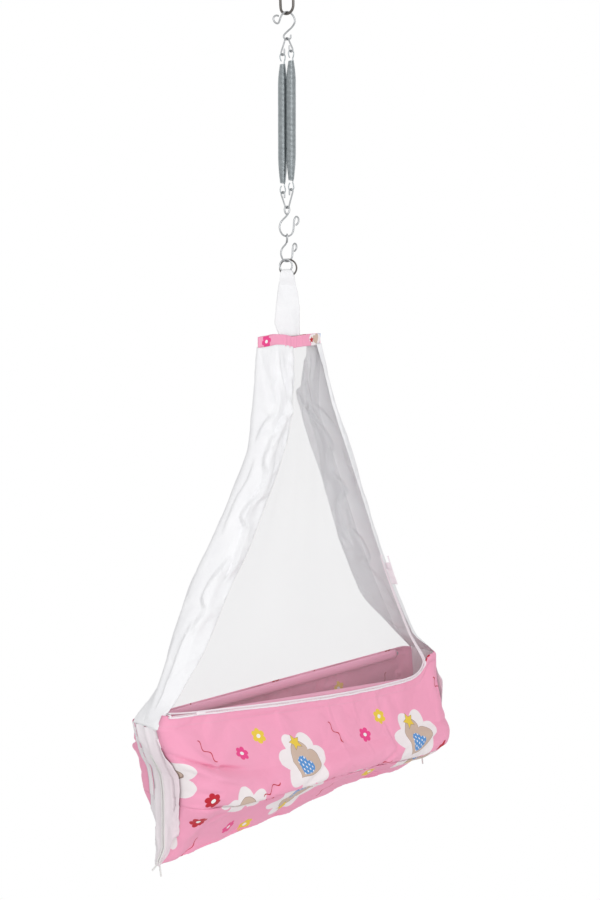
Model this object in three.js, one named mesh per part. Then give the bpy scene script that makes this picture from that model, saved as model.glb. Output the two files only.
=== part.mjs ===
// Hanging baby cradle: a chain link, wire hooks, two long tension springs, two rings and the cloth cradle.
// Millimetres, +Z up. The origin is the top of the chain link, which holds everything up.
// +X runs along the cradle's length and -Y is its front, the side with the zip.
// Piece order from the top: link, hook, bail, springs, bail, two hooks, rings, neck, band, net, bag.
import * as THREE from "three";

// Driving sizes of the wire parts
const clearance = 0.3; // between pieces that touch
const linkWidth = 35;
const linkHeight = 50;
const linkWire = 5;
const hookWire = 3.4;
const upperHookWidth = 48;
const upperHookHeight = 51;
const lowerHookWidth = 34;
const swivelHookHeight = 55.5;
const ringHookHeight = 51;
const bailWire = 3;
const bailLongLeg = 31;
const bailShortLeg = 26;
const bailBendRadius = 4;
const bailApexRadius = 5;
const bailTipLength = 8;
const linkSeat = clearance; // between two wires that hang in each other
const springWire = 2.6;
const springDiameter = 18;
const springLength = 256;
const springGap = 1.6;
const springCurls = 28;
const springEyeWidth = 13.6;
const springEyeHeight = 17;
const springNeckRadius = 2.6;
const springTopTaper = 38;
const springBottomTaper = 50;
const ringWire = 3.2;
const largeRing = 35.4;
const smallRing = 27;
const ringSpread = 6;
const ringSeat = 0.9; // the two rings stand this much off the hook, because they share its bend

// Which way each wire piece faces, in degrees about the vertical from +X
const linkTurn = -80;
const upperHookTurn = -16;
const bailTurn = -80;
const springEyeTurn = -12;
const swivelHookTurn = -16;
const ringHookEyeTurn = 50;
const ringHookTurn = 0;
const ringTurn = -50;

// Driving sizes of the cloth
const neckThickness = 1.6;
const neckFoldWidth = 9;
const neckLoopWidth = 30;
const neckWidth = 58;
const neckEyeDepth = 13;
const neckEyeHeight = 22;
const neckSeat = 0.9;
const neckLength = 127;
const bandLeft = 75;
const bandRight = 88;
const bandHeight = 22;
const bandDepth = 12;
const bandCloth = 1.8;
const lathThickness = 4;
const lathMargin = 4;
const netHeight = 668;
const netCloth = 1.2;
const netFoldDepth = 3;
const netFolds = 5;
const endWidth = 64;
const endCloth = 1.8;
const endFoldDepth = 5;
const rimDepth = 96;
const bagHeight = 270;
const bagDepth = 194;
const bagCloth = 2.2;
const frontRimStart = 24; // the front rim starts this much above the back rim, at the left end
const frontRimEnd = 36; // and drops this much under it before the zip turns up
const creaseDrop = 154; // from the back rim to the lower crease, at the left end
const creaseSlope = 28; // and this much more at the right end
const keelDepth = 26;
const keelEndRise = 14;
const leftEndInset = 44;
const rightEndInset = 6;
const bottomEndGap = 1.5;

// Driving sizes of what the cloth holds
const hemHeight = 18;
const hemDepth = 12;
const hemCloth = 1.2;
const hemSeat = 0.6;
const rodDiameter = 8;
const rodOverhang = 6;
const zipTape = 4;
const zipTeeth = 2.4;
const zipTapeThickness = 0.8;
const zipTeethThickness = 1.6;
const zipRise = 235;
const zipSkin = 0.9; // between the cloth and what is sewn on it
const sliderLength = 12;
const sliderWidth = 8;
const sliderThickness = 2.6;
const sliderGap = 0.7;
const pullLength = 18;
const pullWidth = 6;
const pullThickness = 1.4;
const stopLength = 3.5;
const stopThickness = 1.2;
const stopGap = 0.9;
const cordDiameter = 2.6;
const cordSpread = 6;
const cordTop = 62; // below the rim
const cordTail = 28;
const cordSeat = 0.9;
const mattressLength = 590;
const mattressWidth = 172;
const mattressThickness = 46;
const mattressCentre = 12;
const mattressEndLeft = 27; // free cloth between the mattress and the bag's left end, at the crease
const mattressEndRight = 96;
const mattressCorner = 31;
const mattressSeat = 0.6;

// How finely the curved pieces are divided
const wireSides = 8;
const curlSteps = 8;
const curlSides = 5;
const bendSteps = 2;
const ringSteps = 22;
const clothColumns = 20;
const netRows = 8;
const wallRows = 7;
const bottomRows = 10;
const endColumns = 6;
const endRows = 10;
const neckRows = 6;
const neckArcSteps = 8;
const bandCurveSteps = 4;
const hemSides = 12;
const zipRiseSteps = 9;
const mattressColumns = 16;
const mattressRows = 6;

const steel = new THREE.MeshStandardMaterial({ color: 0x9ba0a3, roughness: 0.32, metalness: 1 });
const darkSteel = new THREE.MeshStandardMaterial({ color: 0x55504c, roughness: 0.42, metalness: 1 });
const springSteel = new THREE.MeshStandardMaterial({ color: 0x8b979d, roughness: 0.36, metalness: 1 });
const whiteCloth = new THREE.MeshStandardMaterial({ color: 0xf3f2f4, roughness: 0.9 });
const netMesh = new THREE.MeshStandardMaterial({ color: 0xe9e8ec, roughness: 0.85 });
const pinkCotton = new THREE.MeshStandardMaterial({ color: 0xf6a9c6, roughness: 0.88 });
const zipPlastic = new THREE.MeshStandardMaterial({ color: 0xf4eef0, roughness: 0.5 });
const wood = new THREE.MeshStandardMaterial({ color: 0xc7a878, roughness: 0.7 });
const cordCotton = new THREE.MeshStandardMaterial({ color: 0xe8e6e2, roughness: 0.9 });
const mattressCover = new THREE.MeshStandardMaterial({ color: 0xf7b7cf, roughness: 0.9 });

const cradle = new THREE.Group();
const half = 0.5;
const degree = Math.PI / 180;

function add(name, geometry, material) {
  const mesh = new THREE.Mesh(geometry, material);
  mesh.name = name;
  cradle.add(mesh);
  return mesh;
}

function mix(a, b, t) {
  return a + (b - a) * t;
}

function smooth(t) {
  return THREE.MathUtils.smoothstep(t, 0, 1);
}

// Value at t in a table of [t, value] rows.
function along(rows, t) {
  let i = 1;
  while (i < rows.length - 1 && rows[i][0] < t) i += 1;
  const [t0, v0] = rows[i - 1];
  const [t1, v1] = rows[i];
  return mix(v0, v1, Math.min(1, Math.max(0, (t - t0) / (t1 - t0))));
}

// Horizontal unit vector that a wire piece lies along.
function facing(turn) {
  return new THREE.Vector3(Math.cos(turn * degree), Math.sin(turn * degree), 0);
}

// A point `across` along the piece's own direction, at height z, from a centre line at the given offset.
function placed(across, z, turn, centre = new THREE.Vector3()) {
  return facing(turn).multiplyScalar(across).add(centre).add(new THREE.Vector3(0, 0, z));
}

// Corners of a round or oval outline.
function polygon(halfWidth, halfHeight, sides) {
  return Array.from({ length: sides }, (_, k) => {
    const angle = (k / sides) * Math.PI * 2;
    return new THREE.Vector2(Math.cos(angle) * halfWidth, Math.sin(angle) * halfHeight);
  });
}

// A closed or wound wire: rings of points joined in order, with the frame carried along the path.
const anyDirection = new THREE.Vector3(3, 2, 2);
function woundWire(points, diameter, sides, closed) {
  const count = points.length;
  const positions = [];
  const index = [];
  let normal = null;
  points.forEach((point, i) => {
    const before = points[closed ? (i + count - 1) % count : Math.max(0, i - 1)];
    const after = points[closed ? (i + 1) % count : Math.min(count - 1, i + 1)];
    const ahead = after.clone().sub(before).normalize();
    if (!normal) normal = anyDirection.clone().cross(ahead).normalize();
    normal.addScaledVector(ahead, -normal.dot(ahead)).normalize();
    const side = ahead.clone().cross(normal);
    for (let k = 0; k < sides; k += 1) {
      const angle = (k / sides) * Math.PI * 2;
      const spot = point.clone().addScaledVector(normal, Math.cos(angle) * diameter * half);
      spot.addScaledVector(side, Math.sin(angle) * diameter * half);
      positions.push(spot.x, spot.y, spot.z);
    }
  });
  const rings = closed ? count : count - 1;
  for (let i = 0; i < rings; i += 1) {
    const j = (i + 1) % count;
    for (let k = 0; k < sides; k += 1) {
      const l = (k + 1) % sides;
      index.push(i * sides + k, i * sides + l, j * sides + l);
      index.push(i * sides + k, j * sides + l, j * sides + k);
    }
  }
  if (!closed) {
    for (let k = 1; k < sides - 1; k += 1) {
      index.push(0, k + 1, k);
      const last = (count - 1) * sides;
      index.push(last, last + k, last + k + 1);
    }
  }
  const geometry = new THREE.BufferGeometry();
  geometry.setAttribute("position", new THREE.Float32BufferAttribute(positions, 3));
  geometry.setIndex(index);
  return geometry;
}

// A smooth path through every point, stepped from point to point and not by length,
// so that tight bends keep their steps
class BendPath extends THREE.CatmullRomCurve3 {
  getUtoTmapping(share) {
    return share;
  }
}

// A bent wire with flat ends
function bentWire(points, diameter) {
  const section = new THREE.Shape(polygon(diameter * half, diameter * half, wireSides));
  return new THREE.ExtrudeGeometry(section, {
    extrudePath: new BendPath(points, false, "centripetal"),
    steps: (points.length - 1) * bendSteps,
    bevelEnabled: false,
  });
}

// A sheet with thickness. outer and inner give the two faces' points for u and v between 0 and 1.
// u runs to the right and v down as seen from the outer side.
function sheet(columns, rows, outer, inner) {
  const positions = [];
  const index = [];
  const wide = columns + 1;
  const faceSize = wide * (rows + 1);
  [outer, inner].forEach((face) => {
    for (let j = 0; j <= rows; j += 1) {
      for (let i = 0; i <= columns; i += 1) {
        const p = face(i / columns, j / rows);
        positions.push(p.x, p.y, p.z);
      }
    }
  });
  const quad = (a, b, c, d) => index.push(a, b, c, a, c, d);
  for (let j = 0; j < rows; j += 1) {
    for (let i = 0; i < columns; i += 1) {
      const a = j * wide + i;
      quad(a, a + wide, a + wide + 1, a + 1);
      const b = a + faceSize;
      quad(b, b + 1, b + wide + 1, b + wide);
    }
  }
  for (let i = 0; i < columns; i += 1) {
    quad(i, i + 1, i + 1 + faceSize, i + faceSize);
    const low = rows * wide + i;
    quad(low, low + faceSize, low + faceSize + 1, low + 1);
  }
  for (let j = 0; j < rows; j += 1) {
    const left = j * wide;
    quad(left, left + faceSize, left + wide + faceSize, left + wide);
    const right = left + columns;
    quad(right, right + wide, right + wide + faceSize, right + faceSize);
  }
  const geometry = new THREE.BufferGeometry();
  geometry.setAttribute("position", new THREE.Float32BufferAttribute(positions, 3));
  geometry.setIndex(index);
  return geometry;
}

// Heights down the hanging line, each worked out from the piece above it
const linkBottom = -linkHeight + linkWire * half;
const upperHookTop = linkBottom + (linkWire + hookWire) * half + linkSeat;
const upperHookBottom = upperHookTop - upperHookHeight;
const upperBailTop = upperHookBottom + (hookWire + bailWire) * half + linkSeat;
const bailSeat = (bailWire + springWire) * half + linkSeat;
const springTops = [upperBailTop - bailLongLeg + bailSeat, upperBailTop - bailShortLeg + bailSeat];
const springBottoms = springTops.map((top) => top - springLength);
const lowerBailBottom = springBottoms[0] + bailSeat - bailLongLeg;
const lowerBailOtherLeg = springBottoms[1] + bailSeat - lowerBailBottom;
const swivelHookTop = lowerBailBottom + (bailWire + hookWire) * half + linkSeat;
const swivelHookBottom = swivelHookTop - swivelHookHeight;
const ringHookTop = swivelHookBottom + hookWire + linkSeat;
const ringHookBottom = ringHookTop - ringHookHeight;
const ringTop = ringHookBottom + (hookWire + ringWire) * half + ringSeat;
const springSpacing = springDiameter + springGap;

// Chain link: two straight sides and two round ends, closed
function chainLink() {
  const bend = (linkWidth - linkWire) * half;
  const straight = linkHeight - linkWidth;
  const points = [];
  for (let i = 0; i < ringSteps; i += 1) {
    const angle = (i / ringSteps) * Math.PI * 2;
    const rise = Math.sin(angle) > 0 ? -linkWire * half - bend : -linkWire * half - bend - straight;
    points.push(placed(Math.cos(angle) * bend, rise + Math.sin(angle) * bend, linkTurn));
  }
  return woundWire(points, linkWire, wireSides, true);
}
add("chain_link", chainLink(), darkSteel);

// Upper hook: the wide upper bend sits in the link and ends in a curled eye, the lower bend holds the bail
const upperHookShares = [
  [0.17, -0.81], [0.165, -0.94], [0.0, -1.0], [-0.135, -0.93], [-0.115, -0.82], [0.15, -0.61],
  [0.33, -0.41], [0.35, -0.26], [0.225, -0.08], [0.0, 0.0], [-0.225, -0.13], [-0.335, -0.4],
  [-0.42, -0.46], [-0.565, -0.37], [-0.575, -0.24], [-0.45, -0.165], [-0.345, -0.19],
];
function upperHookPoints() {
  return upperHookShares.map(([s, z]) => (
    placed(s * upperHookWidth, upperHookTop + z * upperHookHeight, upperHookTurn)));
}
add("upper_hook", bentWire(upperHookPoints(), hookWire), steel);

// Bail: a V of wire whose two ends are bent back into narrow hooks, one a little longer than the other
function bail(apex, leftLeg, rightLeg, way) {
  const reach = springSpacing * half;
  const apexCorner = bailApexRadius * Math.SQRT1_2;
  const bendCorner = bailBendRadius * Math.SQRT1_2;
  const leg = (side, length) => {
    const bend = length - bailBendRadius;
    const rows = [
      [apexCorner, bailApexRadius - apexCorner], [bailApexRadius, bailApexRadius],
      [mix(bailApexRadius, reach + bailBendRadius, half), mix(bailApexRadius, bend, half)],
      [reach + bailBendRadius, bend], [reach + bendCorner, bend + bendCorner], [reach, length],
      [reach - bendCorner, bend + bendCorner], [reach - bailBendRadius, bend],
      [reach - bailBendRadius, bend - bailTipLength],
    ];
    return rows.map(([s, drop]) => placed(side * s, apex - way * drop, bailTurn));
  };
  const points = [...leg(-1, leftLeg).reverse(), placed(0, apex, bailTurn), ...leg(1, rightLeg)];
  return bentWire(points, bailWire);
}
add("upper_bail", bail(upperBailTop, bailLongLeg, bailShortLeg, 1), steel);
add("lower_bail", bail(lowerBailBottom, bailLongLeg, lowerBailOtherLeg, -1), steel);

// Tension spring in one wire: a teardrop eye, a tapered neck, the barrel, a second taper and a second eye
const springEyeShares = [
  [-0.5, -0.82], [-0.9, -0.58], [-1, -0.31], [-0.72, -0.09], [0, 0], [0.72, -0.09], [1, -0.31],
  [0.85, -0.62], [0.62, -0.88],
];
function springPoints(side, top) {
  const centre = facing(bailTurn).multiplyScalar(side * springSpacing * half);
  const eyeHalf = (springEyeWidth - springWire) * half;
  const barrel = (springDiameter - springWire) * half;
  const eye = (level, way) => springEyeShares.map(([s, z]) => (
    placed(s * eyeHalf, level + way * z * springEyeHeight, springEyeTurn, centre)));
  const coilTop = top - springEyeHeight - springWire;
  const coilBottom = top - springLength + springEyeHeight + springWire;
  const points = eye(top, 1);
  const steps = springCurls * curlSteps;
  for (let i = 0; i <= steps; i += 1) {
    const z = mix(coilTop, coilBottom, i / steps);
    const taper = Math.min((coilTop - z) / springTopTaper, (z - coilBottom) / springBottomTaper, 1);
    const radius = mix(springNeckRadius, barrel, Math.sin(taper * Math.PI * half));
    const angle = springEyeTurn * degree - (i / curlSteps) * Math.PI * 2;
    points.push(new THREE.Vector3(Math.cos(angle) * radius, Math.sin(angle) * radius, z).add(centre));
  }
  points.push(...eye(top - springLength, -1).reverse());
  return points;
}

// Least gap between turns of one wire: points more than half a turn apart, less the wire.
function selfGap(points) {
  let least = Infinity;
  points.forEach((p, i) => {
    for (let j = i + curlSteps * half + 1; j < points.length; j += 1) {
      least = Math.min(least, p.distanceTo(points[j]));
    }
  });
  return least - springWire;
}
["left", "right"].forEach((side, i) => {
  const points = springPoints(i ? 1 : -1, springTops[i]);
  add("spring_" + side, woundWire(points, springWire, curlSides, false), springSteel);
  console.log("spring_" + side + " least gap to itself, mm: " + selfGap(points).toFixed(2));
});

// Lower hooks: a small closed eye above, a wide hook below and a curled safety eye at its tip
const lowerEyeShares = [
  [0.03, -0.3], [-0.12, -0.2], [-0.155, -0.095], [-0.1, -0.02], [0, 0], [0.1, -0.02], [0.155, -0.095],
  [0.12, -0.19],
];
const lowerBendShares = [
  [-0.06, -0.34], [-0.34, -0.49], [-0.47, -0.66], [-0.42, -0.83], [-0.25, -0.965], [0, -1], [0.25, -0.96],
  [0.4, -0.8], [0.42, -0.6], [0.46, -0.42], [0.57, -0.33], [0.7, -0.37], [0.73, -0.49], [0.65, -0.58],
  [0.545, -0.63],
];
function lowerHook(top, height, eyeTurn, bendTurn) {
  const eye = lowerEyeShares.map(([s, z]) => placed(s * lowerHookWidth, top + z * height, eyeTurn));
  const bend = lowerBendShares.map(([s, z]) => placed(s * lowerHookWidth, top + z * height, bendTurn));
  return bentWire([...eye, ...bend], hookWire);
}
add("swivel_hook", lowerHook(swivelHookTop, swivelHookHeight, swivelHookTurn, swivelHookTurn), steel);
add("ring_hook", lowerHook(ringHookTop, ringHookHeight, ringHookEyeTurn, ringHookTurn), steel);

// Two welded rings side by side on the ring hook
function ring(outside, shift) {
  const radius = (outside - ringWire) * half;
  const torus = new THREE.TorusGeometry(radius, ringWire * half, wireSides, ringSteps);
  return torus.rotateX(Math.PI * half).rotateZ(ringTurn * degree).translate(shift, 0, ringTop - radius);
}
add("large_ring", ring(largeRing, ringSpread * half), darkSteel);
add("small_ring", ring(smallRing, -ringSpread * half), steel);

// Heights and edges of the cloth
const smallRingSeat = ringTop - smallRing + ringWire + ringWire * half;
const smallBore = smallRing * half - ringWire;
const foldSag = smallBore - Math.sqrt(smallBore ** 2 - (neckFoldWidth * half) ** 2);
const eyeHalf = neckEyeDepth * half;
const ringAside = ringSpread * half * Math.abs(Math.sin(ringTurn * degree)) + ringWire * half;
const archSag = eyeHalf - Math.sqrt(eyeHalf ** 2 - ringAside ** 2);
const neckTop = smallRingSeat + foldSag + archSag + neckSeat + neckThickness;
const lathTop = neckTop - neckLength - clearance; // the strap's end is sewn in the band and meets the lath
const bandTop = lathTop + lathMargin;
const bandBottom = bandTop - bandHeight;
const netTop = bandBottom - clearance;
const rim = netTop - netHeight;
const bagBottom = rim - bagHeight;

// The bag is as long as its mattress and the free cloth at its two ends, and leans out to the rim
const rimLeft = mattressLength * half - mattressCentre + mattressEndLeft + leftEndInset;
const rimRight = mattressLength * half + mattressCentre + mattressEndRight + rightEndInset;

const netLeftShares = [
  [0, 0], [0.145, 0.035], [0.28, 0.08], [0.41, 0.24], [0.535, 0.42], [0.657, 0.6], [0.78, 0.745],
  [0.904, 0.88], [1, 1],
];
const netRightShares = [
  [0, 0], [0.166, 0.116], [0.314, 0.256], [0.469, 0.4], [0.626, 0.546], [0.792, 0.729], [0.969, 0.95], [1, 1],
];
const bagLeftShares = [[0, 0], [0.13, 0.22], [0.25, 0.5], [0.37, 0.88], [0.55, 1], [0.9, 0.97], [1, 0.62]];
const bagRightShares = [[0, 0], [0.3, 0.2], [0.6, 0.4], [1, 1]];

// How far the cloth reaches to the left and right of the hanging line at height z.
function leftEdge(z) {
  if (z >= rim) return -mix(bandLeft, rimLeft, along(netLeftShares, (netTop - z) / netHeight));
  return -rimLeft + leftEndInset * along(bagLeftShares, (rim - z) / bagHeight);
}
function rightEdge(z) {
  if (z >= rim) return mix(bandRight, rimRight, along(netRightShares, (netTop - z) / netHeight));
  return rimRight - rightEndInset * along(bagRightShares, (rim - z) / bagHeight);
}

// The front rim slopes down from the left end and turns up where the zip leaves it.
const zipTurnShare = 0.85;
const frontRimShares = [[0, 0], [0.85, 1], [0.9, 0.94], [0.925, 0.74], [0.94, 0.5], [0.955, 0.34], [1, 0.3]];
function frontRim(u) {
  return rim + frontRimStart - (frontRimStart + frontRimEnd) * along(frontRimShares, u);
}
function rimHeight(u, side) {
  return side < 0 ? frontRim(u) : rim;
}
function crease(u) {
  return rim - creaseDrop - creaseSlope * u;
}

// Half the depth, front to back, of the net and of the bag, where u runs from the left end to the right
const endHalf = endWidth * half;
const rimHalf = rimDepth * half;
const bagHalf = bagDepth * half;
function bump(u, power) {
  return 1 - Math.abs(2 * u - 1) ** power;
}
const shoulderHeightShare = 0.24; // the part of its height in which the net opens from the band's depth
const bandPower = 2;
const foldPower = 4;
const rimPower = 16;
const creasePower = 10;
function netEnd(v) {
  return mix(bandDepth * half, endHalf, smooth(v / shoulderHeightShare));
}
function netHalf(u, v) {
  const power = mix(bandPower, rimPower, v * v);
  const wave = Math.sin(u * netFolds * Math.PI * 2) * Math.sin(v * Math.PI) * bump(u, foldPower);
  return netEnd(v) + (rimHalf - endHalf) * v * v * bump(u, power) + netFoldDepth * wave;
}
const swellShare = 0.78;
const tuckShare = 0.2;
function bagHalfAt(u, q) {
  const swell = smooth(q / swellShare);
  const tuck = smooth((q - swellShare) / (1 - swellShare)) * keelDepth * tuckShare;
  const power = mix(rimPower, creasePower, q);
  return endHalf + mix(rimHalf - endHalf, bagHalf - endHalf - tuck, swell) * bump(u, power);
}

// Columns stand closer together near the ends, where the cloth turns most.
const columnShares = Array.from({ length: clothColumns + 1 }, (_, i) => (
  half - half * Math.cos((i / clothColumns) * Math.PI)));
function columnShare(s) {
  return columnShares[Math.round(s * clothColumns)];
}

// The inside of an end keeps clear of the end strip by the clearance.
function acrossAt(u, z) {
  return mix(leftEdge(z) + clearance, rightEdge(z) - clearance, u);
}
function netPoint(u, v, side, inset) {
  const z = mix(netTop, rimHeight(u, side) + clearance * half, v);
  return new THREE.Vector3(acrossAt(u, z), side * (netHalf(u, v) - inset), z);
}
function wallPoint(u, q, side, inset) {
  const z = mix(rimHeight(u, side) - clearance * half, crease(u), q);
  return new THREE.Vector3(acrossAt(u, z), side * (bagHalfAt(u, q) - inset), z);
}

// Neck: a doubled strip of cloth that loops through both rings and widens down to the band
const neckLevelShares = [0.3, 0.5, 0.75];
const neckFullWidthShare = 0.7;
function neck() {
  const outerHalf = eyeHalf + neckThickness;
  const innerHalf = eyeHalf;
  const shape = new THREE.Shape();
  const flat = neckThickness + clearance;
  const eyeBottom = -neckThickness - neckEyeHeight;
  shape.moveTo(-flat, -neckLength);
  const levels = neckLevelShares.map((s) => mix(eyeBottom - outerHalf, -neckLength, s));
  levels.slice().reverse().forEach((level) => shape.lineTo(-flat, level));
  shape.lineTo(-flat, eyeBottom - outerHalf);
  shape.lineTo(-outerHalf, eyeBottom);
  shape.lineTo(-outerHalf, mix(eyeBottom, -outerHalf, half));
  for (let i = 0; i <= neckArcSteps; i += 1) {
    const angle = Math.PI - (i / neckArcSteps) * Math.PI;
    shape.lineTo(Math.cos(angle) * outerHalf, -outerHalf + Math.sin(angle) * outerHalf);
  }
  shape.lineTo(outerHalf, mix(eyeBottom, -outerHalf, half));
  shape.lineTo(outerHalf, eyeBottom);
  shape.lineTo(flat, eyeBottom - outerHalf);
  levels.forEach((level) => shape.lineTo(flat, level));
  shape.lineTo(flat, -neckLength);
  const hole = new THREE.Path();
  hole.moveTo(-innerHalf, eyeBottom);
  hole.lineTo(-clearance, eyeBottom - innerHalf);
  hole.lineTo(clearance, eyeBottom - innerHalf);
  hole.lineTo(innerHalf, eyeBottom);
  for (let i = 0; i <= neckArcSteps; i += 1) {
    const angle = (i / neckArcSteps) * Math.PI;
    hole.lineTo(Math.cos(angle) * innerHalf, -outerHalf + Math.sin(angle) * innerHalf);
  }
  shape.holes.push(hole);
  const geometry = new THREE.ExtrudeGeometry(shape, { depth: 1, steps: neckRows, bevelEnabled: false });
  const widthRows = [
    [0, neckFoldWidth], [neckThickness * 2, neckFoldWidth], [outerHalf, neckFoldWidth * 2],
    [outerHalf * 2, neckLoopWidth], [neckEyeHeight * 2, mix(neckLoopWidth, neckWidth, half)],
    [neckLength * neckFullWidthShare, neckWidth],
  ];
  const spots = geometry.getAttribute("position");
  for (let i = 0; i < spots.count; i += 1) {
    const drop = -spots.getY(i);
    const across = (spots.getZ(i) - half) * along(widthRows, drop);
    const turn = mix(ringTurn, 0, smooth(drop / neckLength)) * degree;
    const shift = (bandRight - bandLeft) * half * smooth(drop / neckLength);
    const depth = spots.getX(i);
    const x = Math.cos(turn) * across - Math.sin(turn) * depth + shift;
    const y = Math.sin(turn) * across + Math.cos(turn) * depth;
    spots.setXYZ(i, x, y, neckTop - drop);
  }
  return geometry;
}
add("neck_strap", neck(), whiteCloth);

// Band: a flat printed sleeve with a stiff lath inside that keeps it straight
function bandSleeve() {
  const shape = new THREE.Shape();
  const deep = bandDepth * half;
  const curve = deep * half;
  shape.moveTo(-bandLeft + curve, -deep);
  shape.lineTo(bandRight - curve, -deep);
  shape.quadraticCurveTo(bandRight, -deep, bandRight, 0);
  shape.quadraticCurveTo(bandRight, deep, bandRight - curve, deep);
  shape.lineTo(-bandLeft + curve, deep);
  shape.quadraticCurveTo(-bandLeft, deep, -bandLeft, 0);
  shape.quadraticCurveTo(-bandLeft, -deep, -bandLeft + curve, -deep);
  const hole = new THREE.Path();
  const wide = deep - bandCloth;
  const left = -bandLeft + bandCloth;
  const right = bandRight - bandCloth;
  hole.moveTo(left + curve, -wide);
  hole.quadraticCurveTo(left, -wide, left, 0);
  hole.quadraticCurveTo(left, wide, left + curve, wide);
  hole.lineTo(right - curve, wide);
  hole.quadraticCurveTo(right, wide, right, 0);
  hole.quadraticCurveTo(right, -wide, right - curve, -wide);
  shape.holes.push(hole);
  const geometry = new THREE.ExtrudeGeometry(shape, {
    depth: bandHeight,
    bevelEnabled: false,
    curveSegments: bandCurveSteps,
  });
  return geometry.translate(0, 0, bandBottom);
}
add("neck_band", bandSleeve(), pinkCotton);

function box(left, right, front, back, low, high) {
  const geometry = new THREE.BoxGeometry(right - left, back - front, high - low);
  return geometry.translate((left + right) * half, (front + back) * half, (low + high) * half);
}
const lathHalf = bandDepth * half - bandCloth - clearance;
add("band_lath", box(
  -bandLeft + lathMargin, bandRight - lathMargin, lathHalf - lathThickness, lathHalf,
  bandBottom + lathMargin, lathTop), wood);

// Net: a front and a back panel with soft folds that run down from the band
[["net_front", -1], ["net_back", 1]].forEach(([name, side]) => {
  const outer = (s, v) => netPoint(columnShare(side < 0 ? s : 1 - s), v, side, 0);
  const inner = (s, v) => netPoint(columnShare(side < 0 ? s : 1 - s), v, side, netCloth);
  add(name, sheet(clothColumns, netRows, outer, inner), netMesh);
});

// End panels of white cloth: the upper ones close the net, the lower ones run down the ends of the bag
const endRipples = 3;
const rippleTurns = 0.8; // how far the ripples drift round on their way down
const endBottom = bagBottom + keelEndRise * half;
function endPanel(end, top, bottom, cloth, folded) {
  const face = (inset) => (u, v) => {
    const z = mix(top, bottom, v);
    const depth = netEnd((netTop - z) / netHeight) - cloth - clearance;
    const wave = Math.sin((u * endRipples + v * rippleTurns * 2) * Math.PI);
    const ripple = folded * Math.sin(v * Math.PI) * wave;
    const edge = end < 0 ? leftEdge(z) : rightEdge(z);
    const y = mix(end < 0 ? depth : -depth, end < 0 ? -depth : depth, u);
    return new THREE.Vector3(edge + end * (endCloth - inset + Math.abs(ripple)), y, z);
  };
  return sheet(endColumns, endRows, face(0), face(endCloth));
}
[["left", -1], ["right", 1]].forEach(([name, end]) => {
  add("net_end_" + name, endPanel(end, netTop, rim + clearance * half, netCloth, endFoldDepth), whiteCloth);
  add("bag_end_" + name, endPanel(end, rim - clearance * half, endBottom, bagCloth, 0), whiteCloth);
});

// Bag walls, swelling over the mattress down to the lower crease
[["wall_front", -1], ["wall_back", 1]].forEach(([name, side]) => {
  const outer = (s, q) => wallPoint(columnShare(side < 0 ? s : 1 - s), q, side, 0);
  const inner = (s, q) => wallPoint(columnShare(side < 0 ? s : 1 - s), q, side, bagCloth);
  add(name, sheet(clothColumns, wallRows, outer, inner), pinkCotton);
});

// Bottom panel: a shoulder under each side of the mattress and a slack keel between them
const shoulderShare = 0.28;
const shoulderFallShare = 0.12;
const keelRiseShare = 0.25;
// The inner face's height at share u of the length, where inwards is 0 at the crease and 1 in the middle.
function bottomHeight(u, inwards) {
  const top = crease(u) - clearance;
  const endRise = smooth((Math.abs(2 * u - 1) - 1 + keelRiseShare) / keelRiseShare);
  const keel = top - bagBottom - bagCloth - keelEndRise * endRise;
  const flank = Math.sin(Math.max(0, (inwards - shoulderShare) / (1 - shoulderShare)) * Math.PI * half);
  return top - keel * mix(shoulderFallShare * Math.min(1, inwards / shoulderShare), 1, flank);
}
function bottomPoint(u, w, inset) {
  const across = 2 * w - 1;
  const width = bagHalfAt(u, 1) - inset;
  const z = bottomHeight(u, 1 - Math.abs(across)) - (bagCloth - inset);
  const x = mix(leftEdge(z) + bottomEndGap, rightEdge(z) - bottomEndGap, u);
  return new THREE.Vector3(x, across * width, z);
}
add("bottom_panel", sheet(
  clothColumns, bottomRows, (s, w) => bottomPoint(columnShare(s), w, 0),
  (s, w) => bottomPoint(columnShare(s), w, bagCloth)), pinkCotton);

// Hems: a sleeve of folded cloth inside the top of each wall, with a straight rod in it
const frontHemShares = [0.1, 0.84];
const backHemShares = [0.07, 0.93];
function hemEnds(side) {
  const shares = side < 0 ? frontHemShares : backHemShares;
  return shares.map((u) => {
    const drop = hemHeight * half + clearance;
    const z = rimHeight(u, side) - drop;
    const firstRow = (rimHeight(u, side) - crease(u)) / wallRows;
    const wall = mix(bagHalfAt(u, 0), bagHalfAt(u, 1 / wallRows), drop / firstRow);
    const y = side * (wall - bagCloth - hemSeat - hemDepth * half);
    return new THREE.Vector3(acrossAt(u, z), y, z);
  });
}
function hemSleeve(side) {
  const [start, end] = hemEnds(side);
  const oval = (inset) => polygon(hemDepth * half - inset, hemHeight * half - inset, hemSides);
  const shape = new THREE.Shape(oval(0));
  shape.holes.push(new THREE.Path(oval(hemCloth)));
  const geometry = new THREE.ExtrudeGeometry(shape, { depth: start.distanceTo(end), bevelEnabled: false });
  return laidAlong(geometry, start, end);
}

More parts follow.
